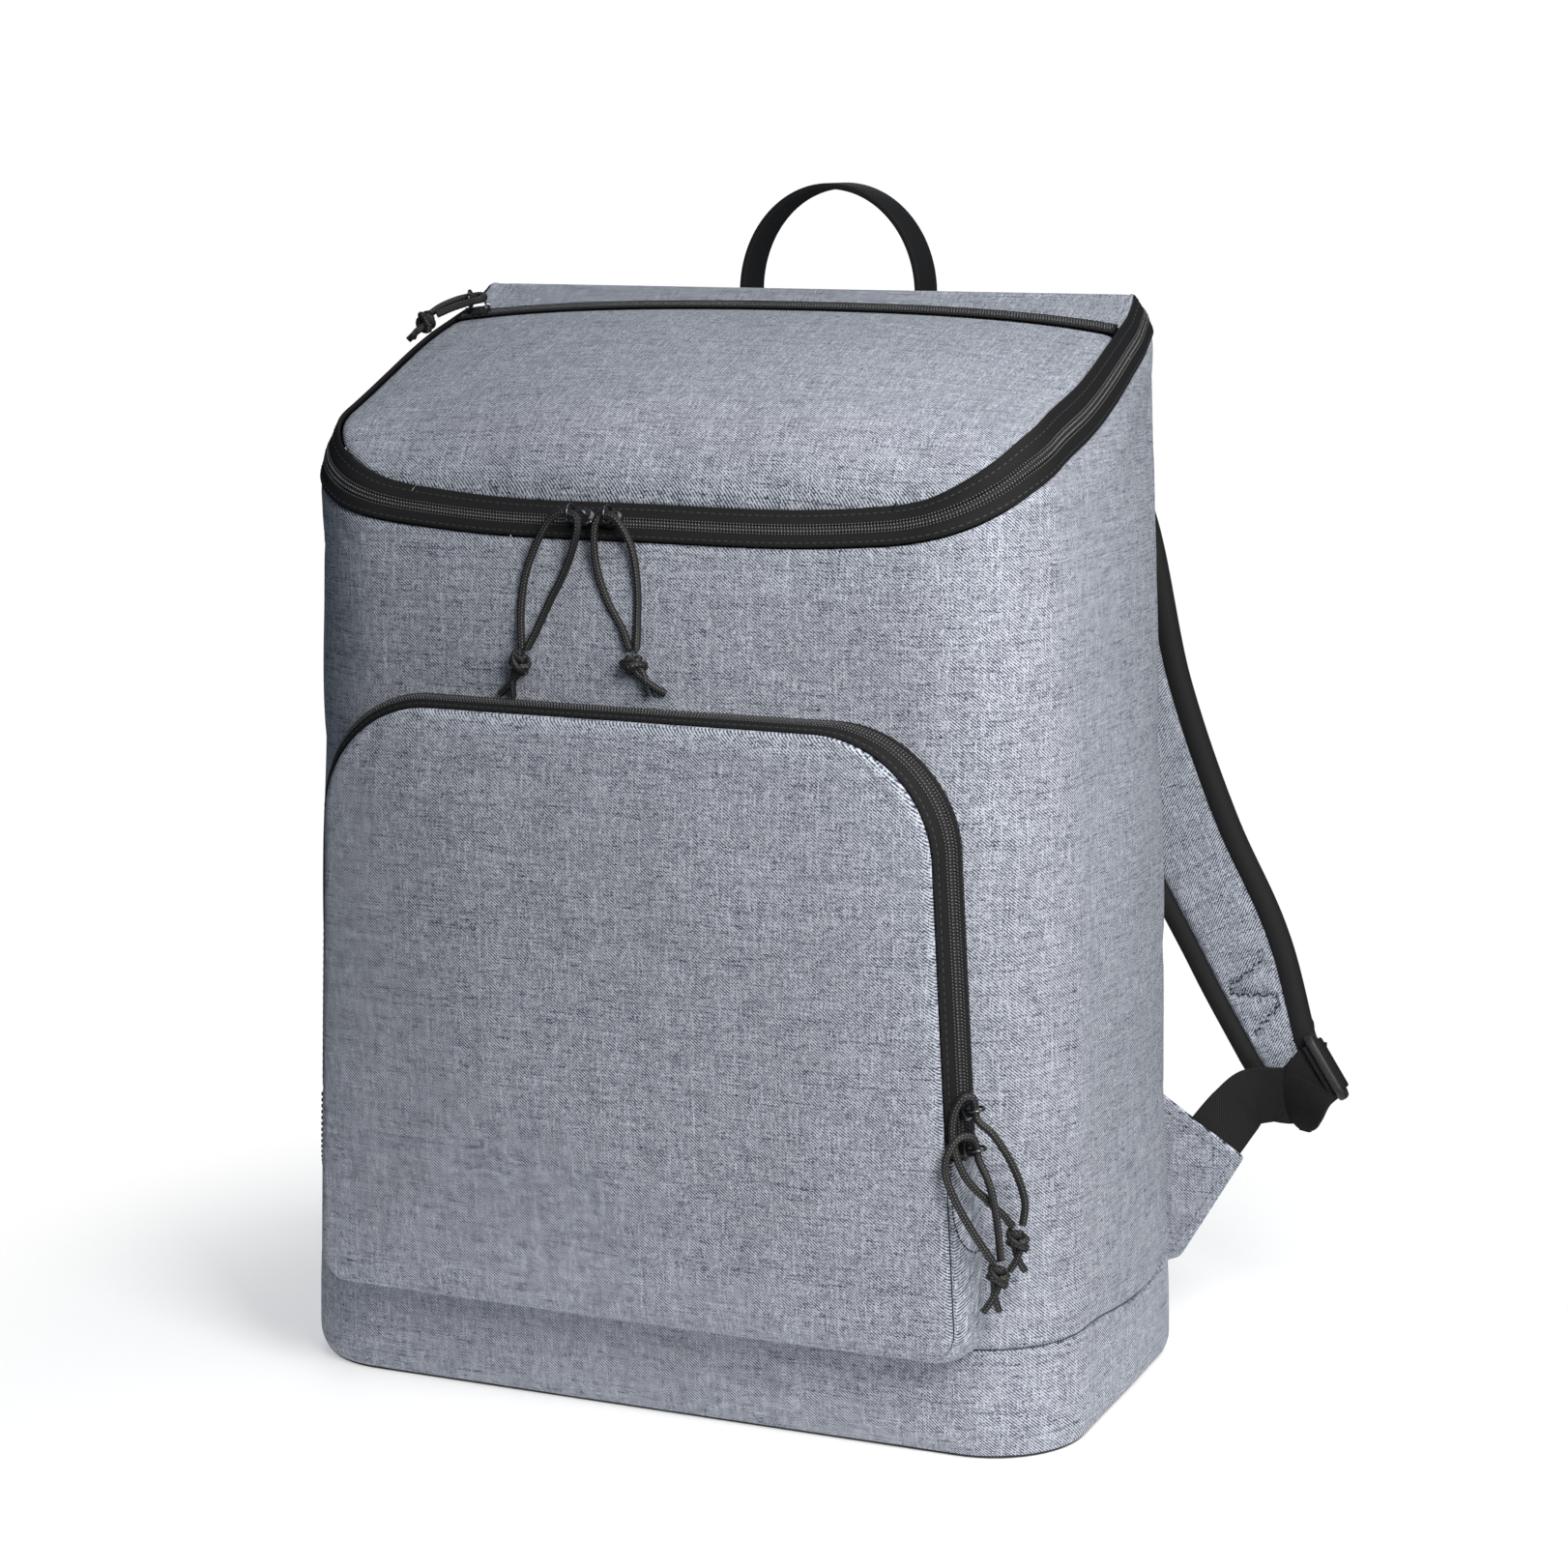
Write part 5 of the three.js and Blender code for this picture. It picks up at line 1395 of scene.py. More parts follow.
class BACKPACK_OT_zips(bpy.types.Operator):
    """Add the tapes, coil teeth and stitches of the three zips"""

    bl_idname = "backpack.zips"
    bl_label = "Zips"

    def execute(self, context):
        for name, (strip, width, steps, tapes, zigzags) in ZIPS.items():
            lengths = self.lengths(strip, steps)
            gap = ZIP_GAP / width
            coil = ZIP_COIL / width / 2
            tucked = TAPE_TUCK if name == "main_zip" else -gap
            spans = ((gap, 0.5 - coil - gap / 2), (0.5 + coil + gap / 2, 1 + tucked))
            for tape, (low, high), zigzag in zip(tapes, spans, zigzags):
                kind = "Zip tape" if zigzag else "Plain tape"
                piece = self.band(name + "_band_" + tape, strip, low, high, TAPE / 2, TAPE, steps, width,
                                  lengths)
                finish(piece, tape_material(kind, zigzag), "black_trim", name + "_" + tape)
            self.coil(name, strip, width, steps, coil, lengths)
            self.stitches(name, strip, lengths)
        return {"FINISHED"}

    def lengths(self, strip, steps):
        """Length along the middle of a strip at each of its steps."""
        total = [0.0]
        before = strip(0, 0.5)
        for i in range(1, steps + 1):
            after = strip(i / steps, 0.5)
            total.append(total[-1] + (after - before).length)
            before = after
        return total

    def length_at(self, lengths, u):
        place = limit(u, 0, 1) * (len(lengths) - 1)
        i = min(int(place), len(lengths) - 2)
        return mix(lengths[i], lengths[i + 1], place - i)

    def place_at(self, lengths, length):
        low, high = 0, len(lengths) - 1
        while high - low > 1:
            middle = (low + high) // 2
            if lengths[middle] < length:
                low = middle
            else:
                high = middle
        share = (length - lengths[low]) / max(lengths[high] - lengths[low], 1e-9)
        return (low + limit(share, 0, 1)) / (len(lengths) - 1)

    def band(self, name, strip, low, high, out, wall, steps, width, lengths, rows=10):
        def flat(u, v):
            ends = limit((1 - abs(2 * u - 1)) / 0.09, 0, 1)
            top = min(high, mix(0.98, 1.07, ends))
            return strip(u, mix(low, top, v))

        span = (high - low) * width

        def surface(u, v):
            edge = min(v, 1 - v) * span
            return push_out(flat, u, v, out + roll(edge, 0.9, 0.5))

        def uv(u, v, place):
            return (self.length_at(lengths, u) * MM, mix(low, high, v) * width * MM)

        return sheet_piece(name, surface, steps, rows, wall, uv, crowded=0)

    def coil(self, name, strip, width, steps, half, lengths):
        """The coil: a thin bed, two rows of rounded teeth and the thread that sews them to the tapes."""
        pitch = sizes().tooth / MM
        count = int(lengths[-1] / pitch)
        teeth = bead("tooth", pitch * 0.78, 1.5, 1.0, 6, 5)
        frames = []
        for i in range(count):
            for row in (-1, 1):
                u = self.place_at(lengths, (i + 0.5 + 0.25 * row) * pitch)
                place = strip_frame(strip, u, 0.5 + row * 0.98 / width, COIL_RISE - 0.35)
                frames.append(place @ Matrix.Rotation(0.3 * row, 4, "Z"))
        coil = copies(name + "_teeth", teeth, frames)
        drop(teeth)
        finish(coil, plain_material("Coil", (0.045, 0.045, 0.047), 0.25, coat=0.5), "zip_coil")
        thread = bead("coil_thread", pitch * 0.6, 0.75, 0.45, 6, 4)
        frames = []
        for i in range(count):
            for row in (-1, 1):
                u = self.place_at(lengths, (i + 0.5) * pitch)
                across = 0.5 + row * (ZIP_COIL / 2 + 0.5) / width
                frames.append(strip_frame(strip, u, across, TAPE / 2 + 0.05))
        sewn = copies(name + "_coil_thread", thread, frames)
        drop(thread)
        finish(sewn, plain_material("Coil thread", (0.085, 0.085, 0.088), 0.4), "zip_coil")
        bed = self.band(name + "_bed", strip, 0.5 - half, 0.5 + half, COIL_RISE - 0.45, 1.2, steps, width,
                        lengths, rows=4)
        finish(bed, plain_material("Coil bed", (0.006, 0.006, 0.007), 0.8), "zip_coil", name + "_coil")

    def stitches(self, name, strip, lengths):
        """A row of thread along each tape."""
        pitch = sizes().stitch / MM
        thread = bead("stitch", pitch * 0.72, 0.42, 0.3, 6, 4)
        frames = []
        count = int(lengths[-1] / pitch)
        for row in (0.13, 0.87):
            for i in range(count):
                u = self.place_at(lengths, (i + 0.5) * pitch)
                frames.append(strip_frame(strip, u, row, TAPE / 2 + 0.02))
        piece = copies(name + "_stitches", thread, frames)
        drop(thread)
        finish(piece, plain_material("Black thread", (0.045, 0.045, 0.048), 0.6), "black_trim")


def pocket_panel_flat(u, v):
    q = mix(RIM_BREAKS[1], RIM_BREAKS[4], v)
    left_x, z = pocket_rim(-q, POCKET_TAPER)
    right_x, _ = pocket_rim(q, POCKET_TAPER)
    inside = (1 - abs(2 * u - 1) ** 4) * max(math.sin(math.pi * v), 0) ** 0.6
    y = pocket_face(z) - SEAM_GAP - POCKET_SWELL * inside - POCKET_WALL
    return Vector((mix(left_x, right_x, u), y, z))


class BACKPACK_OT_pocket(bpy.types.Operator):
    """Add the front pocket's panel and its side wall"""

    bl_idname = "backpack.pocket"
    bl_label = "Front pocket"

    def execute(self, context):
        cloth = cloth_material()

        def panel(u, v):
            flat = pocket_panel_flat(u, v)
            sides = min(u, 1 - u) * 270
            bottom = flat.z - POCKET_BOTTOM - 1
            top = POCKET_TOP - 3 - flat.z
            edge = min(sides, bottom, top)
            out = roll(edge, 5, 3)
            calm = limit(edge / 35, 0, 1)
            out += 1.4 * ripple(flat, 70, 9) * calm
            return flat + Vector((0, -out, 0))

        face = sheet_piece("pocket_panel", panel, 180, 150, POCKET_WALL,
                           lambda u, v, place: (place.x * MM, place.z * MM), span=(275, 235))
        finish(face, cloth, "melange_cloth", "pocket_front_panel")

        low = (2 * SEAM_GAP - POCKET_SEAT) / POCKET_DEPTH
        high = 1 - ZIP_GAP / POCKET_DEPTH
        end = ZIP_END_Q - ZIP_END_CLEAR

        def gusset_flat(u, v):
            return pocket_wall_point(end * (2 * u - 1), mix(low, high, v))

        def gusset(u, v):
            edge = min(v, 1 - v) * POCKET_DEPTH
            return push_out(gusset_flat, u, v, TAPE / 2 + roll(edge, 2, 1))

        side = sheet_piece("pocket_side", gusset, 240, 14, TAPE,
                           lambda u, v, place: (place.x * MM, (place.z - place.y) * MM))
        finish(side, cloth, "melange_cloth", "pocket_gusset")
        return {"FINISHED"}


def side_q(z):
    """The place on the pocket's rim at a height on its straight side."""
    low = POCKET_BOTTOM + POCKET_BOTTOM_CORNER
    high = POCKET_TOP - POCKET_TOP_CORNER
    return mix(RIM_BREAKS[2], RIM_BREAKS[3], (z - low) / (high - low))


class BACKPACK_OT_pocket_stitches(bpy.types.Operator):
    """Add the stitches that hold the ends of the pocket's zip"""

    bl_idname = "backpack.pocket_stitches"
    bl_label = "Pocket stitches"

    def execute(self, context):
        for name, hand in SIDES.items():
            route, _ = smooth_curve([(z, w * 100, 0) for z, w in END_STITCHES], 1.5)
            points, outs = [], []
            for z, w, _ in route:
                place = pocket_wall_point(hand * side_q(z), w / 100)
                outs.append(Vector((hand, 0, 0)))
                points.append(place + outs[-1] * (TAPE / 2 + 0.3))
            row = stitch_row("zip_end_stitches_" + name, points, outs, 2.2, 0.3, 0.75)
            finish(row, slate_thread(), "melange_cloth")
        return {"FINISHED"}


def bail_place(lean, slide):
    bar_height = SLIDER_HEIGHT + BRIDGE_RISE - BRIDGE_BAR / 2
    bar_reach = (BRIDGE_BAR * abs(math.cos(lean)) + BRIDGE_WIDTH * abs(math.sin(lean))) / 2
    reach = BAIL_RADIUS - BAIL_WIRE - bar_reach - BAIL_CLEARANCE
    way = Vector((math.sin(lean), 0, math.cos(lean)))
    return way * reach + Vector((0, slide, bar_height)), way


class BACKPACK_OT_sliders(bpy.types.Operator):
    """Add the five rounded sliders and their wire bails"""

    bl_idname = "backpack.sliders"
    bl_label = "Zip sliders"

    def execute(self, context):
        slider = self.slider()
        bail = self.bail()
        rise = COIL_RISE + SEAM_GAP
        pulls = [
            ("main_left", main_strip, MAIN_SLIDERS["left"], BAIL_LEAN, -BAIL_SLIDE),
            ("main_right", main_strip, MAIN_SLIDERS["right"], BAIL_LEAN, BAIL_SLIDE),
            ("pocket_upper", pocket_strip, POCKET_SLIDERS["upper"], -BAIL_LEAN, 0),
            ("pocket_lower", pocket_strip, POCKET_SLIDERS["lower"], -BAIL_LEAN, 0),
            ("lid", lid_strip, LID_SLIDER, BAIL_LEAN, -BAIL_SLIDE),
        ]
        painted = plain_material("Black slider", (0.01, 0.01, 0.011), 0.16, coat=1.0, grain=300)
        steel = plain_material("Bail wire", (0.1, 0.1, 0.105), 0.2, metallic=1.0, grain=300)
        for name, strip, u, lean, slide in pulls:
            place = strip_frame(strip, u, 0.5, rise)
            body = copies("slider_body_" + name, slider, [place])
            smooth(body, 35)
            finish(body, painted, "slider_metal", "slider_" + name)
            centre, way = bail_place(lean, slide)
            level = Vector((0, 1, 0)).cross(way)
            turned = Matrix((way, level, Vector((0, 1, 0)))).transposed().to_4x4()
            turned.translation = centre
            ring = copies("bail_ring_" + name, bail, [place @ turned])
            finish(ring, steel, "bail_wire", "bail_" + name)
        drop(slider)
        drop(bail)
        return {"FINISHED"}

    def slider(self):
        """A shield-shaped body with a domed top and a bent bridge."""
        clear_selection()
        sides = 40
        bpy.ops.mesh.primitive_circle_add(vertices=sides, radius=1, fill_type="NGON")
        body = bpy.context.object
        body.name = "slider"
        for vertex in body.data.vertices:
            angle = math.atan2(vertex.co.y, vertex.co.x)
            x = math.copysign(abs(math.cos(angle)) ** 0.7, math.cos(angle)) * SLIDER_WIDTH / 2
            y = math.copysign(abs(math.sin(angle)) ** 0.8, math.sin(angle)) * SLIDER_LENGTH / 2
            x *= mix(0.74, 1, limit((y + SLIDER_LENGTH / 2) / (SLIDER_LENGTH * 0.6), 0, 1))
            vertex.co = (x, y, 0)
        take(body)
        bpy.ops.object.mode_set(mode="EDIT")
        bpy.ops.mesh.select_all(action="SELECT")
        extrude_up(SLIDER_HEIGHT * 0.75)
        for rise, size in ((0.18, 0.9), (0.07, 0.82)):
            extrude_up(SLIDER_HEIGHT * rise)
            bpy.ops.transform.resize(value=(size, size, 1))
        bpy.ops.mesh.select_all(action="SELECT")
        bpy.ops.mesh.normals_make_consistent(inside=False)
        bpy.ops.object.mode_set(mode="OBJECT")
        foot = BRIDGE_SPAN / 2 - BRIDGE_BAR / 2
        top = SLIDER_HEIGHT + BRIDGE_RISE - BRIDGE_BAR / 2
        line = [(0, -foot, SLIDER_HEIGHT * 0.6), (0, -foot, top - 1.2), (0, -foot + 1, top),
                (0, 0, top + 0.1), (0, foot - 1, top), (0, foot, top - 1.2), (0, foot, SLIDER_HEIGHT * 0.6)]
        places, tangents = smooth_curve(line, 0.5)
        side = Vector((1, 0, 0))
        turns = [2 * math.pi * k / 10 for k in range(10)]
        rings = []
        for place, tangent in zip(places, tangents):
            other = tangent.cross(side)
            rings.append([place + side * (0.5 * BRIDGE_WIDTH * math.cos(turn))
                          + other * (0.5 * BRIDGE_BAR * math.sin(turn)) for turn in turns])
        points, faces, _ = sweep(places, rings)
        bridge = new_piece("bridge", points, faces)
        for vertex in bridge.data.vertices:
            vertex.co /= MM
        face_outwards(bridge)
        take(body)
        bridge.select_set(True)
        bpy.ops.object.join()
        return body

    def bail(self):
        clear_selection()
        bpy.ops.mesh.primitive_torus_add(major_radius=BAIL_RADIUS, minor_radius=BAIL_WIRE, major_segments=48,
                                         minor_segments=12)
        ring = bpy.context.object
        ring.name = "bail"
        return ring


def rounded_section(half_width, half_thick, radius, steps=4, across=0):
    """Points round a flat section with round edges. across adds points on its two flat sides."""
    radius = min(radius, half_thick * 0.999, half_width * 0.999)
    section = []
    for number, (x, y, start) in enumerate(CORNERS):
        for k in range(steps + 1):
            angle = math.radians(start + 90 * k / steps)
            section.append((x * (half_width - radius) + radius * math.cos(angle),
                            y * (half_thick - radius) + radius * math.sin(angle)))
        if across and number in (0, 2):
            for k in range(1, across + 1):
                section.append((mix(x, -x, k / (across + 1)) * (half_width - radius), y * half_thick))
    return section


def band_piece(name, stations, radius):
    """A band through stations of middle, way across, face, half width and half thickness."""
    places = [station[0] for station in stations]
    rings = []
    widths = []
    for middle, side, face, half_width, half_thick in stations:
        section = rounded_section(half_width, half_thick, radius)
        rings.append([middle + side * x + face * y for x, y in section])
        widths.append([x for x, _ in section])
    points, faces, uv = sweep(places, rings)
    count = len(rings[0])
    uv = [(uv[i][0], widths[i // count][i % count] * MM) for i in range(len(uv))]
    piece = new_piece(name, points, faces, uv)
    face_outwards(piece)
    smooth(piece, 50)
    return piece


class BACKPACK_OT_handle(bpy.types.Operator):
    """Add the carry handle of folded webbing"""

    bl_idname = "backpack.handle"
    bl_label = "Carry handle"

    def execute(self, context):
        steps = 320
        leg_foot = BAG_HEIGHT - HANDLE_FOOT
        leg_top = BAG_HEIGHT - HANDLE_TUCK
        rows = []
        for i in range(steps + 1):
            share = 2 * i / steps - 1
            at = abs(share)
            loop = min(at / HANDLE_LOOP, 1)
            leg = max((at - HANDLE_LOOP) / (1 - HANDLE_LOOP), 0)
            turn = math.pi / 2 * loop
            hand = -1 if share < 0 else 1
            x = HANDLE_SHIFT * (1 - leg) + hand * HANDLE_SPAN / 2 * math.sin(turn)
            z = leg_top + (HANDLE_RISE + HANDLE_TUCK) * math.cos(turn) - leg * (leg_top - leg_foot)
            twist = math.pi / 2 * min(leg / HANDLE_TURNED, 1)
            reach = HANDLE_WEB * abs(math.cos(twist)) + HANDLE_THICK * abs(math.sin(twist))
            rows.append((Vector((x, BACK_FACE + reach / 2 + 2 * SEAM_GAP, z)), twist, hand))
        stations = []
        for i, (middle, twist, hand) in enumerate(rows):
            tangent = (rows[min(i + 1, steps)][0] - rows[max(i - 1, 0)][0]).normalized()
            flat = Vector((0, 1, 0))
            outward = tangent.cross(flat).normalized()
            side = flat * math.cos(twist) - outward * (hand * math.sin(twist))
            side = (side - tangent * side.dot(tangent)).normalized()
            stations.append((middle, side, tangent.cross(side), HANDLE_WEB / 2, HANDLE_THICK / 2))
        handle = band_piece("handle_web", stations, 0.8)
        finish(handle, web_material(), "black_webbing", "carry_handle")
        return {"FINISHED"}


def web_material():
    return tape_material("Webbing", 0.0, sizes().rib, 0.004, 1.1)


def strap_stations(hand, steps):
    rows = [Vector((hand * out * BASE_WIDTH / 2,
                    BACK_FACE + SEAM_GAP + STRAP_PAD / 2 + BINDING_PROUD + bow * STRAP_BOW,
                    up * BAG_HEIGHT)) for _, out, up, bow, _ in STRAP_LINE]
    places, tangents = smooth_curve(rows, 2)
    total = len(places) - 1
    stations = []
    for i in range(steps + 1):
        k = round(total * i / steps)
        tangent = tangents[k]
        side = Vector((hand, 0, 0))
        side = (side - tangent * side.dot(tangent)).normalized()
        width = STRAP_WIDTH * table_value(STRAP_LINE, k / total, 4)
        stations.append((places[k], side, tangent.cross(side).normalized(), width))
    return stations


class BACKPACK_OT_straps(bpy.types.Operator):
    """Add the padded shoulder straps, their bindings and the stitches through their ends"""

    bl_idname = "backpack.straps"
    bl_label = "Shoulder straps"

    def execute(self, context):
        for name, hand in SIDES.items():
            stations = self.longer(strap_stations(hand, 220))
            self.pad(name, hand, stations)
            for edge, way in (("outer", 1), ("inner", -1)):
                rows = []
                for middle, side, face, width in stations:
                    place = middle + side * (way * (width - BINDING) / 2)
                    rows.append((place, side, face, BINDING / 2 + 0.6, STRAP_PAD / 2 + BINDING_PROUD))
                tape = band_piece("strap_edge_" + edge + "_" + name, rows, 4.2)
                finish(tape, tape_material("Binding", 0.0, 0.0006, 0.004, 1.7), "black_trim",
                       "strap_binding_" + edge + "_" + name)
        return {"FINISHED"}

    def longer(self, stations):
        """Carry the strap on behind the webbing that it is sewn to."""
        middle, side, face, width = stations[-1]
        way = (middle - stations[-7][0]).normalized()
        step = PAD_EXTRA / 10
        back = Vector((0, 1, 0))
        for i in range(1, 11):
            place = middle + way * (step * i) + back * (0.28 * i)
            stations.append((place, side, face, width - 0.25 * i))
        return stations

    def pad(self, name, hand, stations):
        """The cushion: plump between its bindings and drawn in along the stitches."""
        places = [station[0] for station in stations]
        reach = reach_along(places)
        total = reach[-1] - PAD_EXTRA
        rings, widths = [], []
        for (middle, side, face, width), at in zip(stations, reach):
            half = width / 2 - BINDING - BINDING_GAP + 1.2
            section = rounded_section(half, STRAP_PAD / 2, 3.4, 4, 36)
            ring = []
            for x, y in section:
                share = x / half
                out = 0.9 * (1 - share * share) * (1 if y > 0 else -1)
                if abs(y) > STRAP_PAD / 2 - 0.1:
                    out -= self.groove(share * hand, total - at, half) * (1 if y > 0 else -1)
                    out += 0.35 * ripple((x, at, y), 18, 3)
                ring.append(middle + side * x + face * (y + out))
            rings.append(ring)
            widths.append([x for x, _ in section])
        points, faces, uv = sweep(places, rings)
        count = len(rings[0])
        uv = [(widths[i // count][i % count] * MM, uv[i][0]) for i in range(len(uv))]
        piece = new_piece("strap_cloth_" + name, points, faces, uv)
        face_outwards(piece)
        smooth(piece, 50)
        finish(piece, cloth_material(), "melange_cloth", "strap_pad_" + name)
        self.stitches(name, hand, stations, reach, total)

    def groove(self, share, from_end, half):
        """How deep the stitches draw the cushion in at a place."""
        depth = 0.0
        place = Vector((share * half, from_end))
        for start, end in PAD_STITCHES:
            a = Vector((start[0] * half, start[1]))
            b = Vector((end[0] * half, end[1]))
            along = b - a
            t = limit((place - a).dot(along) / along.length_squared, 0, 1)
            distance = (place - a - along * t).length
            depth = max(depth, 2.7 * math.exp(-(distance / 1.4) ** 2))
        return depth

    def stitches(self, name, hand, stations, reach, total):
        for number, (start, end) in enumerate(PAD_STITCHES):
            for side_name, way in (("a", 1), ("b", -1)):
                points, outs = [], []
                for k in range(25):
                    t = k / 24
                    at = total - mix(start[1], end[1], t)
                    i = min(range(len(reach)), key=lambda j: abs(reach[j] - at))
                    middle, side, face, width = stations[i]
                    half = width / 2 - BINDING - BINDING_GAP + 1.2
                    share = mix(start[0], end[0], t) * hand
                    rise = STRAP_PAD / 2 + 0.9 * (1 - share * share) - 1.6
                    points.append(middle + side * (share * half) + face * (way * rise))
                    outs.append(face * way)
                row_name = f"pad_stitch_{name}_{number}{side_name}"
                row = stitch_row(row_name, points, outs, 2.6, 0.3, 0.8)
                finish(row, slate_thread(), "melange_cloth")


def webbing_stations(rows, hand, half_width, half_thick):
    curve, tangents = smooth_curve([mirrored(at, hand) for at, _ in rows], 0.5)
    ways, _ = smooth_curve([mirrored(across, hand) for _, across in rows], 0.01)
    last = len(curve) - 1
    stations = []
    for i, (place, tangent) in enumerate(zip(curve, tangents)):
        across = ways[round((len(ways) - 1) * i / last)]
        across = (across - tangent * across.dot(tangent)).normalized()
        stations.append((place, across, tangent.cross(across), half_width, half_thick))
    return stations


class BACKPACK_OT_strap_ends(bpy.types.Operator):
    """Add the wings, the lower webbing with its tails and the ladder buckles"""

    bl_idname = "backpack.strap_ends"
    bl_label = "Strap ends"

    def execute(self, context):
        for name, hand in SIDES.items():
            web = webbing_stations(LOWER_WEB, hand, WEB_WIDTH / 2, WEB_THICK / 2)
            tail = webbing_stations(WEB_TAIL, hand, WEB_WIDTH / 2, WEB_THICK / 2)
            tail = self.round_end(tail, 11)
            for label, stations, node in (("web", web, "lower_webbing_"), ("web_end", tail, "webbing_tail_")):
                piece = band_piece(label + "_" + name, stations, 0.75)
                finish(piece, web_material(), "black_webbing", node + name)
            self.wing(name, hand)
            self.buckle(name, hand)
        return {"FINISHED"}

    def round_end(self, stations, length):
        """Round the free end of a webbing."""
        end = stations[-1][0]
        rounded = []
        for middle, side, face, half_width, half_thick in stations:
            left = (middle - end).length
            share = 1 - limit(left / length, 0, 1)
            narrowed = half_width * max(math.sqrt(1 - share ** 2.6), 0.3)
            rounded.append((middle, side, face, narrowed, half_thick))
        return rounded

    def wing(self, name, hand):
        """The folded cloth wing: five corners, thickened, rounded and hemmed."""
        near = BACK_FACE + SEAM_GAP
        corners = [Vector((hand * x, near, z)) for x, z in WING_CORNERS]
        points = corners + [corner + Vector((0, WING_THICK, 0)) for corner in corners]
        count = len(corners)
        faces = [tuple(range(count)), tuple(range(2 * count - 1, count - 1, -1))]
        for i in range(count):
            j = (i + 1) % count
            faces.append((j, i, i + count, j + count))
        piece = new_piece("wing_cloth_" + name, points, faces, [(p.x * MM, p.z * MM) for p in points])
        face_outwards(piece)
        bevel = piece.modifiers.new("Fold", "BEVEL")
        bevel.width = 1.6 * MM
        bevel.segments = 5
        apply_modifiers(piece)
        smooth(piece, 50)
        finish(piece, cloth_material(), "melange_cloth", "strap_wing_" + name)
        middle = sum(corners, Vector()) / count
        for face_name, y, way in (("front", near - 0.05, -1), ("back", near + WING_THICK + 0.05, 1)):
            line = []
            for corner in corners[1:4]:
                inward = (middle - corner).normalized()
                line.append(Vector((corner.x, y, corner.z)) + Vector((inward.x, 0, inward.z)) * 5.5)
            dense = [line[0].lerp(line[1], k / 30) for k in range(30)]
            dense += [line[1].lerp(line[2], k / 30) for k in range(31)]
            outs = [Vector((0, way, 0))] * len(dense)
            row = stitch_row("wing_stitch_" + face_name + "_" + name, dense, outs, 2.0, 0.9, 0.45)
            finish(row, slate_thread(), "melange_cloth")

    def buckle(self, name, hand):
        """The ladder buckle: a flat curve with two slots, extruded, rounded and a little bent."""
        half = BUCKLE_WIDTH / 2
        slot = (BUCKLE_LENGTH - 3 * BUCKLE_BAR) / 2
        inner = half - BUCKLE_BAR
        curve = bpy.data.curves.new("buckle", "CURVE")
        curve.dimensions = "2D"
        curve.fill_mode = "BOTH"
        curve.extrude = BUCKLE_THICK / 2 - 1.3
        curve.bevel_depth = 1.3
        curve.bevel_resolution = 4

        def outline_of(width, low, high, radius):
            spline = curve.splines.new("POLY")
            points = []
            for x, y, start in CORNERS:
                centre_x = x * (width - radius)
                centre_y = high - radius if y > 0 else low + radius
                for k in range(8):
                    t = math.radians(start + 90 * k / 7)
                    points.append((centre_x + radius * math.cos(t), centre_y + radius * math.sin(t)))
            spline.points.add(len(points) - 1)
            for point, (x, y) in zip(spline.points, points):
                point.co = (x, y, 0, 1)
            spline.use_cyclic_u = True

        outline_of(half - 1.3, -BUCKLE_LENGTH / 2 + 1.3, BUCKLE_LENGTH / 2 - 1.3, 4.2)
        for start in (-BUCKLE_LENGTH / 2 + BUCKLE_BAR, BUCKLE_BAR / 2):
            outline_of(inner + 1.3, start - 1.3, start + slot + 1.3, 1.6)
        piece = bpy.data.objects.new("buckle_" + name, curve)
        bpy.context.collection.objects.link(piece)
        take(piece)
        bpy.ops.object.convert(target="MESH")
        piece = bpy.context.object
        across = Vector(mirrored(BUCKLE_ACROSS, hand)).normalized()
        along = Vector(mirrored(BUCKLE_ALONG, hand))
        along = (along - across * along.dot(across)).normalized()
        away = across.cross(along)
        matrix = Matrix((across, along, away)).transposed().to_4x4()
        matrix.translation = Vector(mirrored(BUCKLE_AT, hand))
        for vertex in piece.data.vertices:
            x, y, z = vertex.co
            bend = -0.012 * x * x + 0.9
            vertex.co = (matrix @ Vector((x, y + bend * 0.8 * (1 if y > 3 else 0), z))) * MM
        take(piece)
        bpy.ops.object.mode_set(mode="EDIT")
        bpy.ops.mesh.select_all(action="SELECT")
        bpy.ops.mesh.remove_doubles(threshold=0.00002)
        bpy.ops.mesh.normals_make_consistent(inside=False)
        bpy.ops.object.mode_set(mode="OBJECT")
        smooth(piece, 50)
        plastic = plain_material("Black plastic", (0.018, 0.018, 0.019), 0.45, grain=900)
        finish(piece, plastic, "black_plastic", "strap_buckle_" + name)
        self.threaded(name, hand, across, along)

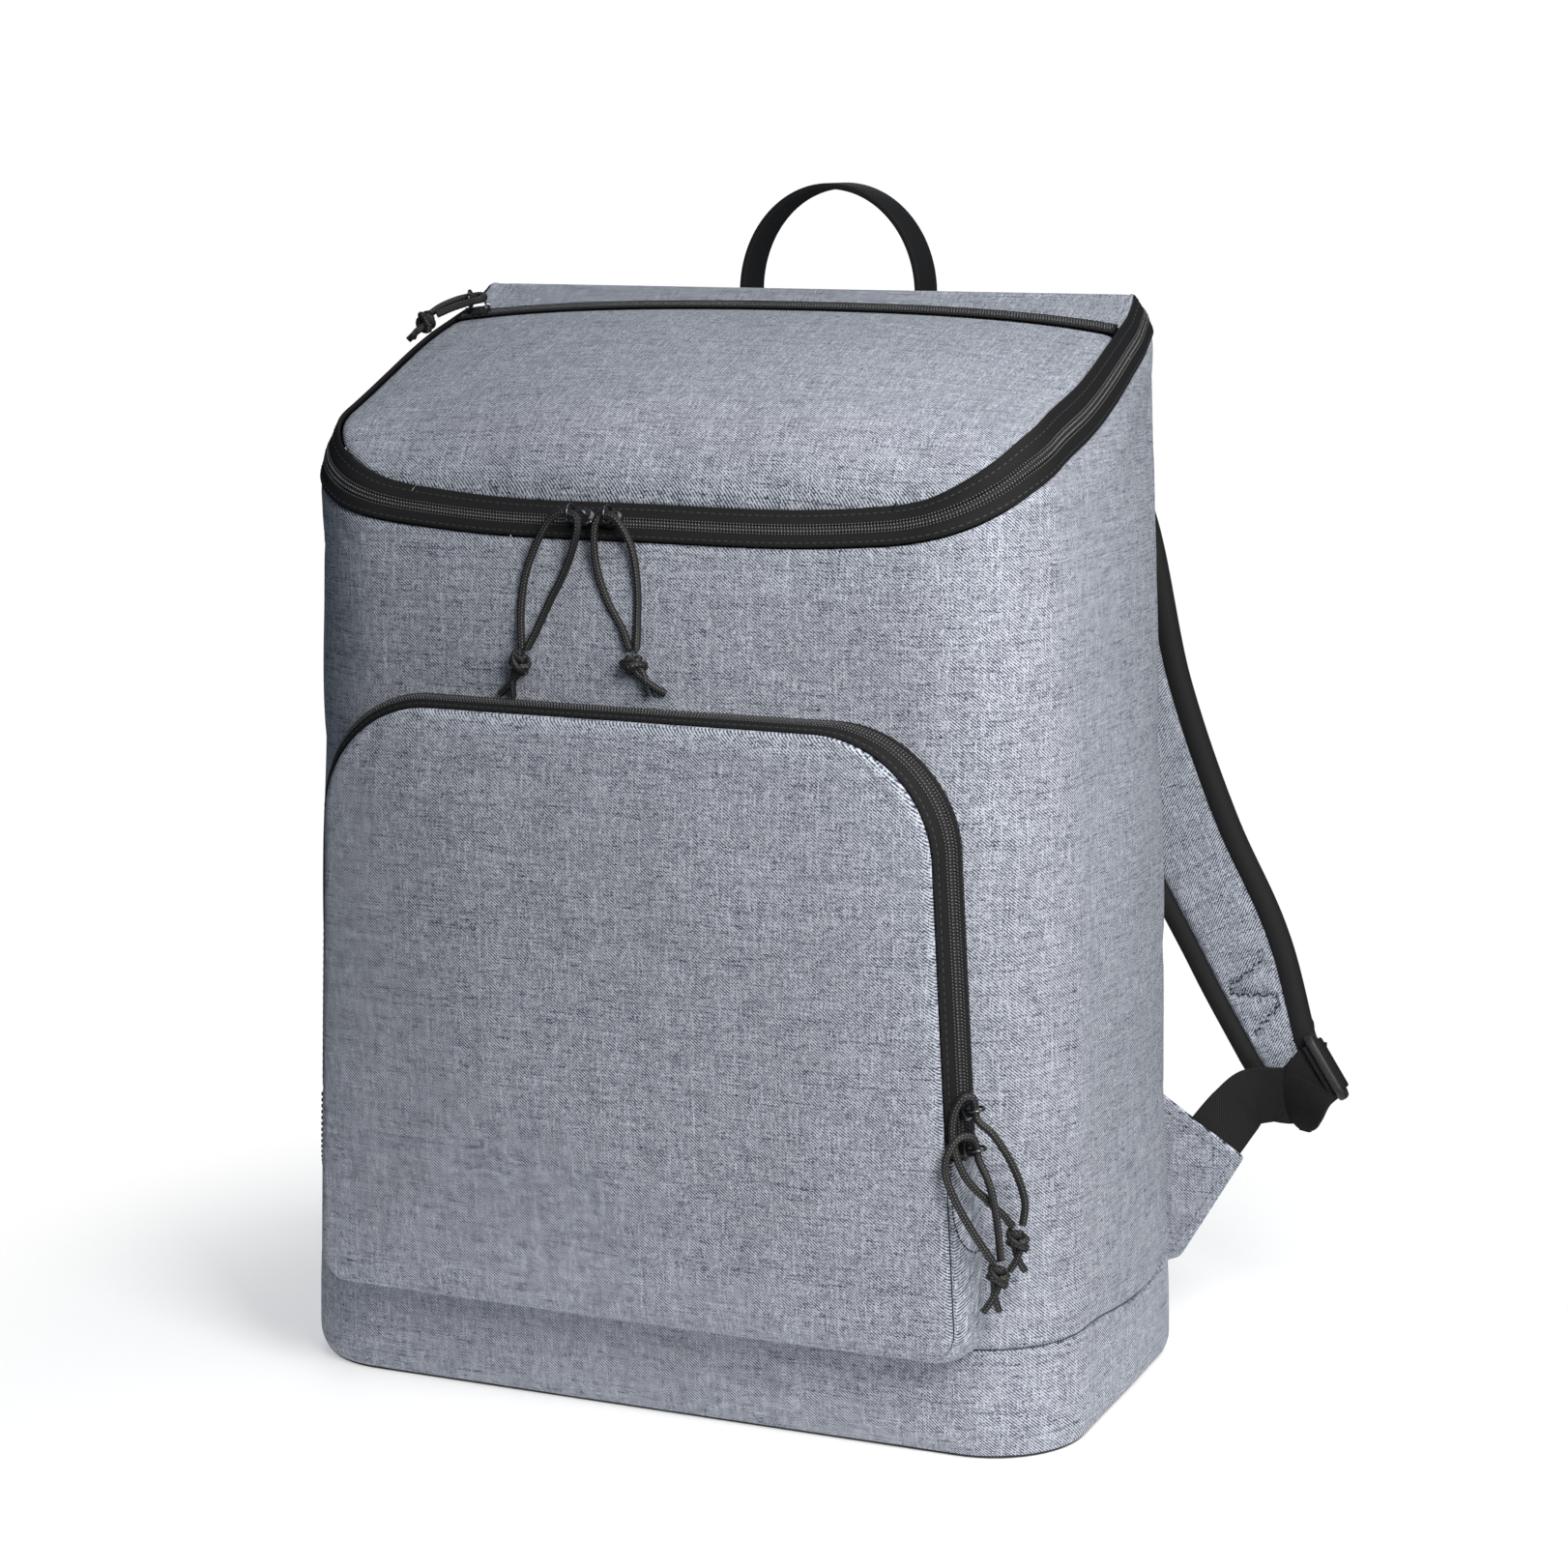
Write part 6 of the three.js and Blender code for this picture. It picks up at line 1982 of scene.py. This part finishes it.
    def threaded(self, name, hand, across, along):
        """The webbing that runs through the buckle, and its stub from the end of the pad."""
        away = across.cross(along)
        end, end_side, _, _ = strap_stations(hand, 150)[-1]
        far = Vector(mirrored(BUCKLE_AT, hand))
        bar = (BUCKLE_LENGTH - BUCKLE_BAR) / 2
        turn = away * (-hand * 2.9)
        loops = {
            "web_loop": [
                far - along * 5.4 + turn * 1.5, far - along * 4.6, far - along * 3.0 - turn * 0.9,
                far - turn * 1.15, far + along * 3.0 - turn * 0.9, far + along * 4.2,
                far + along * 4.2 + turn * 1.5,
            ],
            "web_stub": [
                end + Vector((0, 8.5, 5)), end.lerp(far, 0.45) + Vector((0, 9, 2)),
                far + along * bar + turn * 1.1, far + along * (bar + 1.2), far + along * bar - turn * 0.9,
            ],
        }
        for label, line in loops.items():
            places, tangents = smooth_curve(line, 0.6)
            count = len(places)
            stations = []
            for i, (place, tangent) in enumerate(zip(places, tangents)):
                way = across if label == "web_loop" else end_side.lerp(across, limit(2.2 * i / count, 0, 1))
                way = (way - tangent * way.dot(tangent)).normalized()
                stations.append((place, way, tangent.cross(way), WEB_WIDTH / 2 - 1.0, WEB_THICK / 2))
            loop = band_piece(label + "_" + name, stations, 0.7)
            finish(loop, web_material(), "black_webbing")


class BACKPACK_PT_panel(bpy.types.Panel):
    """The backpack's pieces in the sidebar"""

    bl_idname = "BACKPACK_PT_panel"
    bl_label = "Cooler backpack"
    bl_space_type = "VIEW_3D"
    bl_region_type = "UI"
    bl_category = "Backpack"

    def draw(self, context):
        layout = self.layout
        for group in (context.scene.backpack_sizes, context.scene.backpack_colours):
            for name in group.__annotations__:
                layout.prop(group, name)
        for operator in OPERATORS:
            layout.operator(operator.bl_idname)


OPERATORS = (
    BACKPACK_OT_stage, BACKPACK_OT_pull_cords, BACKPACK_OT_body, BACKPACK_OT_lid, BACKPACK_OT_zips,
    BACKPACK_OT_pocket, BACKPACK_OT_pocket_stitches, BACKPACK_OT_sliders, BACKPACK_OT_handle,
    BACKPACK_OT_straps, BACKPACK_OT_strap_ends,
)
CLASSES = (BackpackSizes, BackpackColours, *OPERATORS, BACKPACK_PT_panel)


def register():
    for kind in CLASSES:
        bpy.utils.register_class(kind)
    bpy.types.Scene.backpack_sizes = PointerProperty(type=BackpackSizes)
    bpy.types.Scene.backpack_colours = PointerProperty(type=BackpackColours)


def unregister():
    del bpy.types.Scene.backpack_colours
    del bpy.types.Scene.backpack_sizes
    for kind in reversed(CLASSES):
        bpy.utils.unregister_class(kind)


def main():
    register()
    bpy.ops.backpack.stage()
    bpy.ops.backpack.pull_cords()
    bpy.ops.backpack.body()
    bpy.ops.backpack.lid()
    bpy.ops.backpack.zips()
    bpy.ops.backpack.pocket()
    bpy.ops.backpack.pocket_stitches()
    bpy.ops.backpack.sliders()
    bpy.ops.backpack.handle()
    bpy.ops.backpack.straps()
    bpy.ops.backpack.strap_ends()


if __name__ == "__main__":
    main()
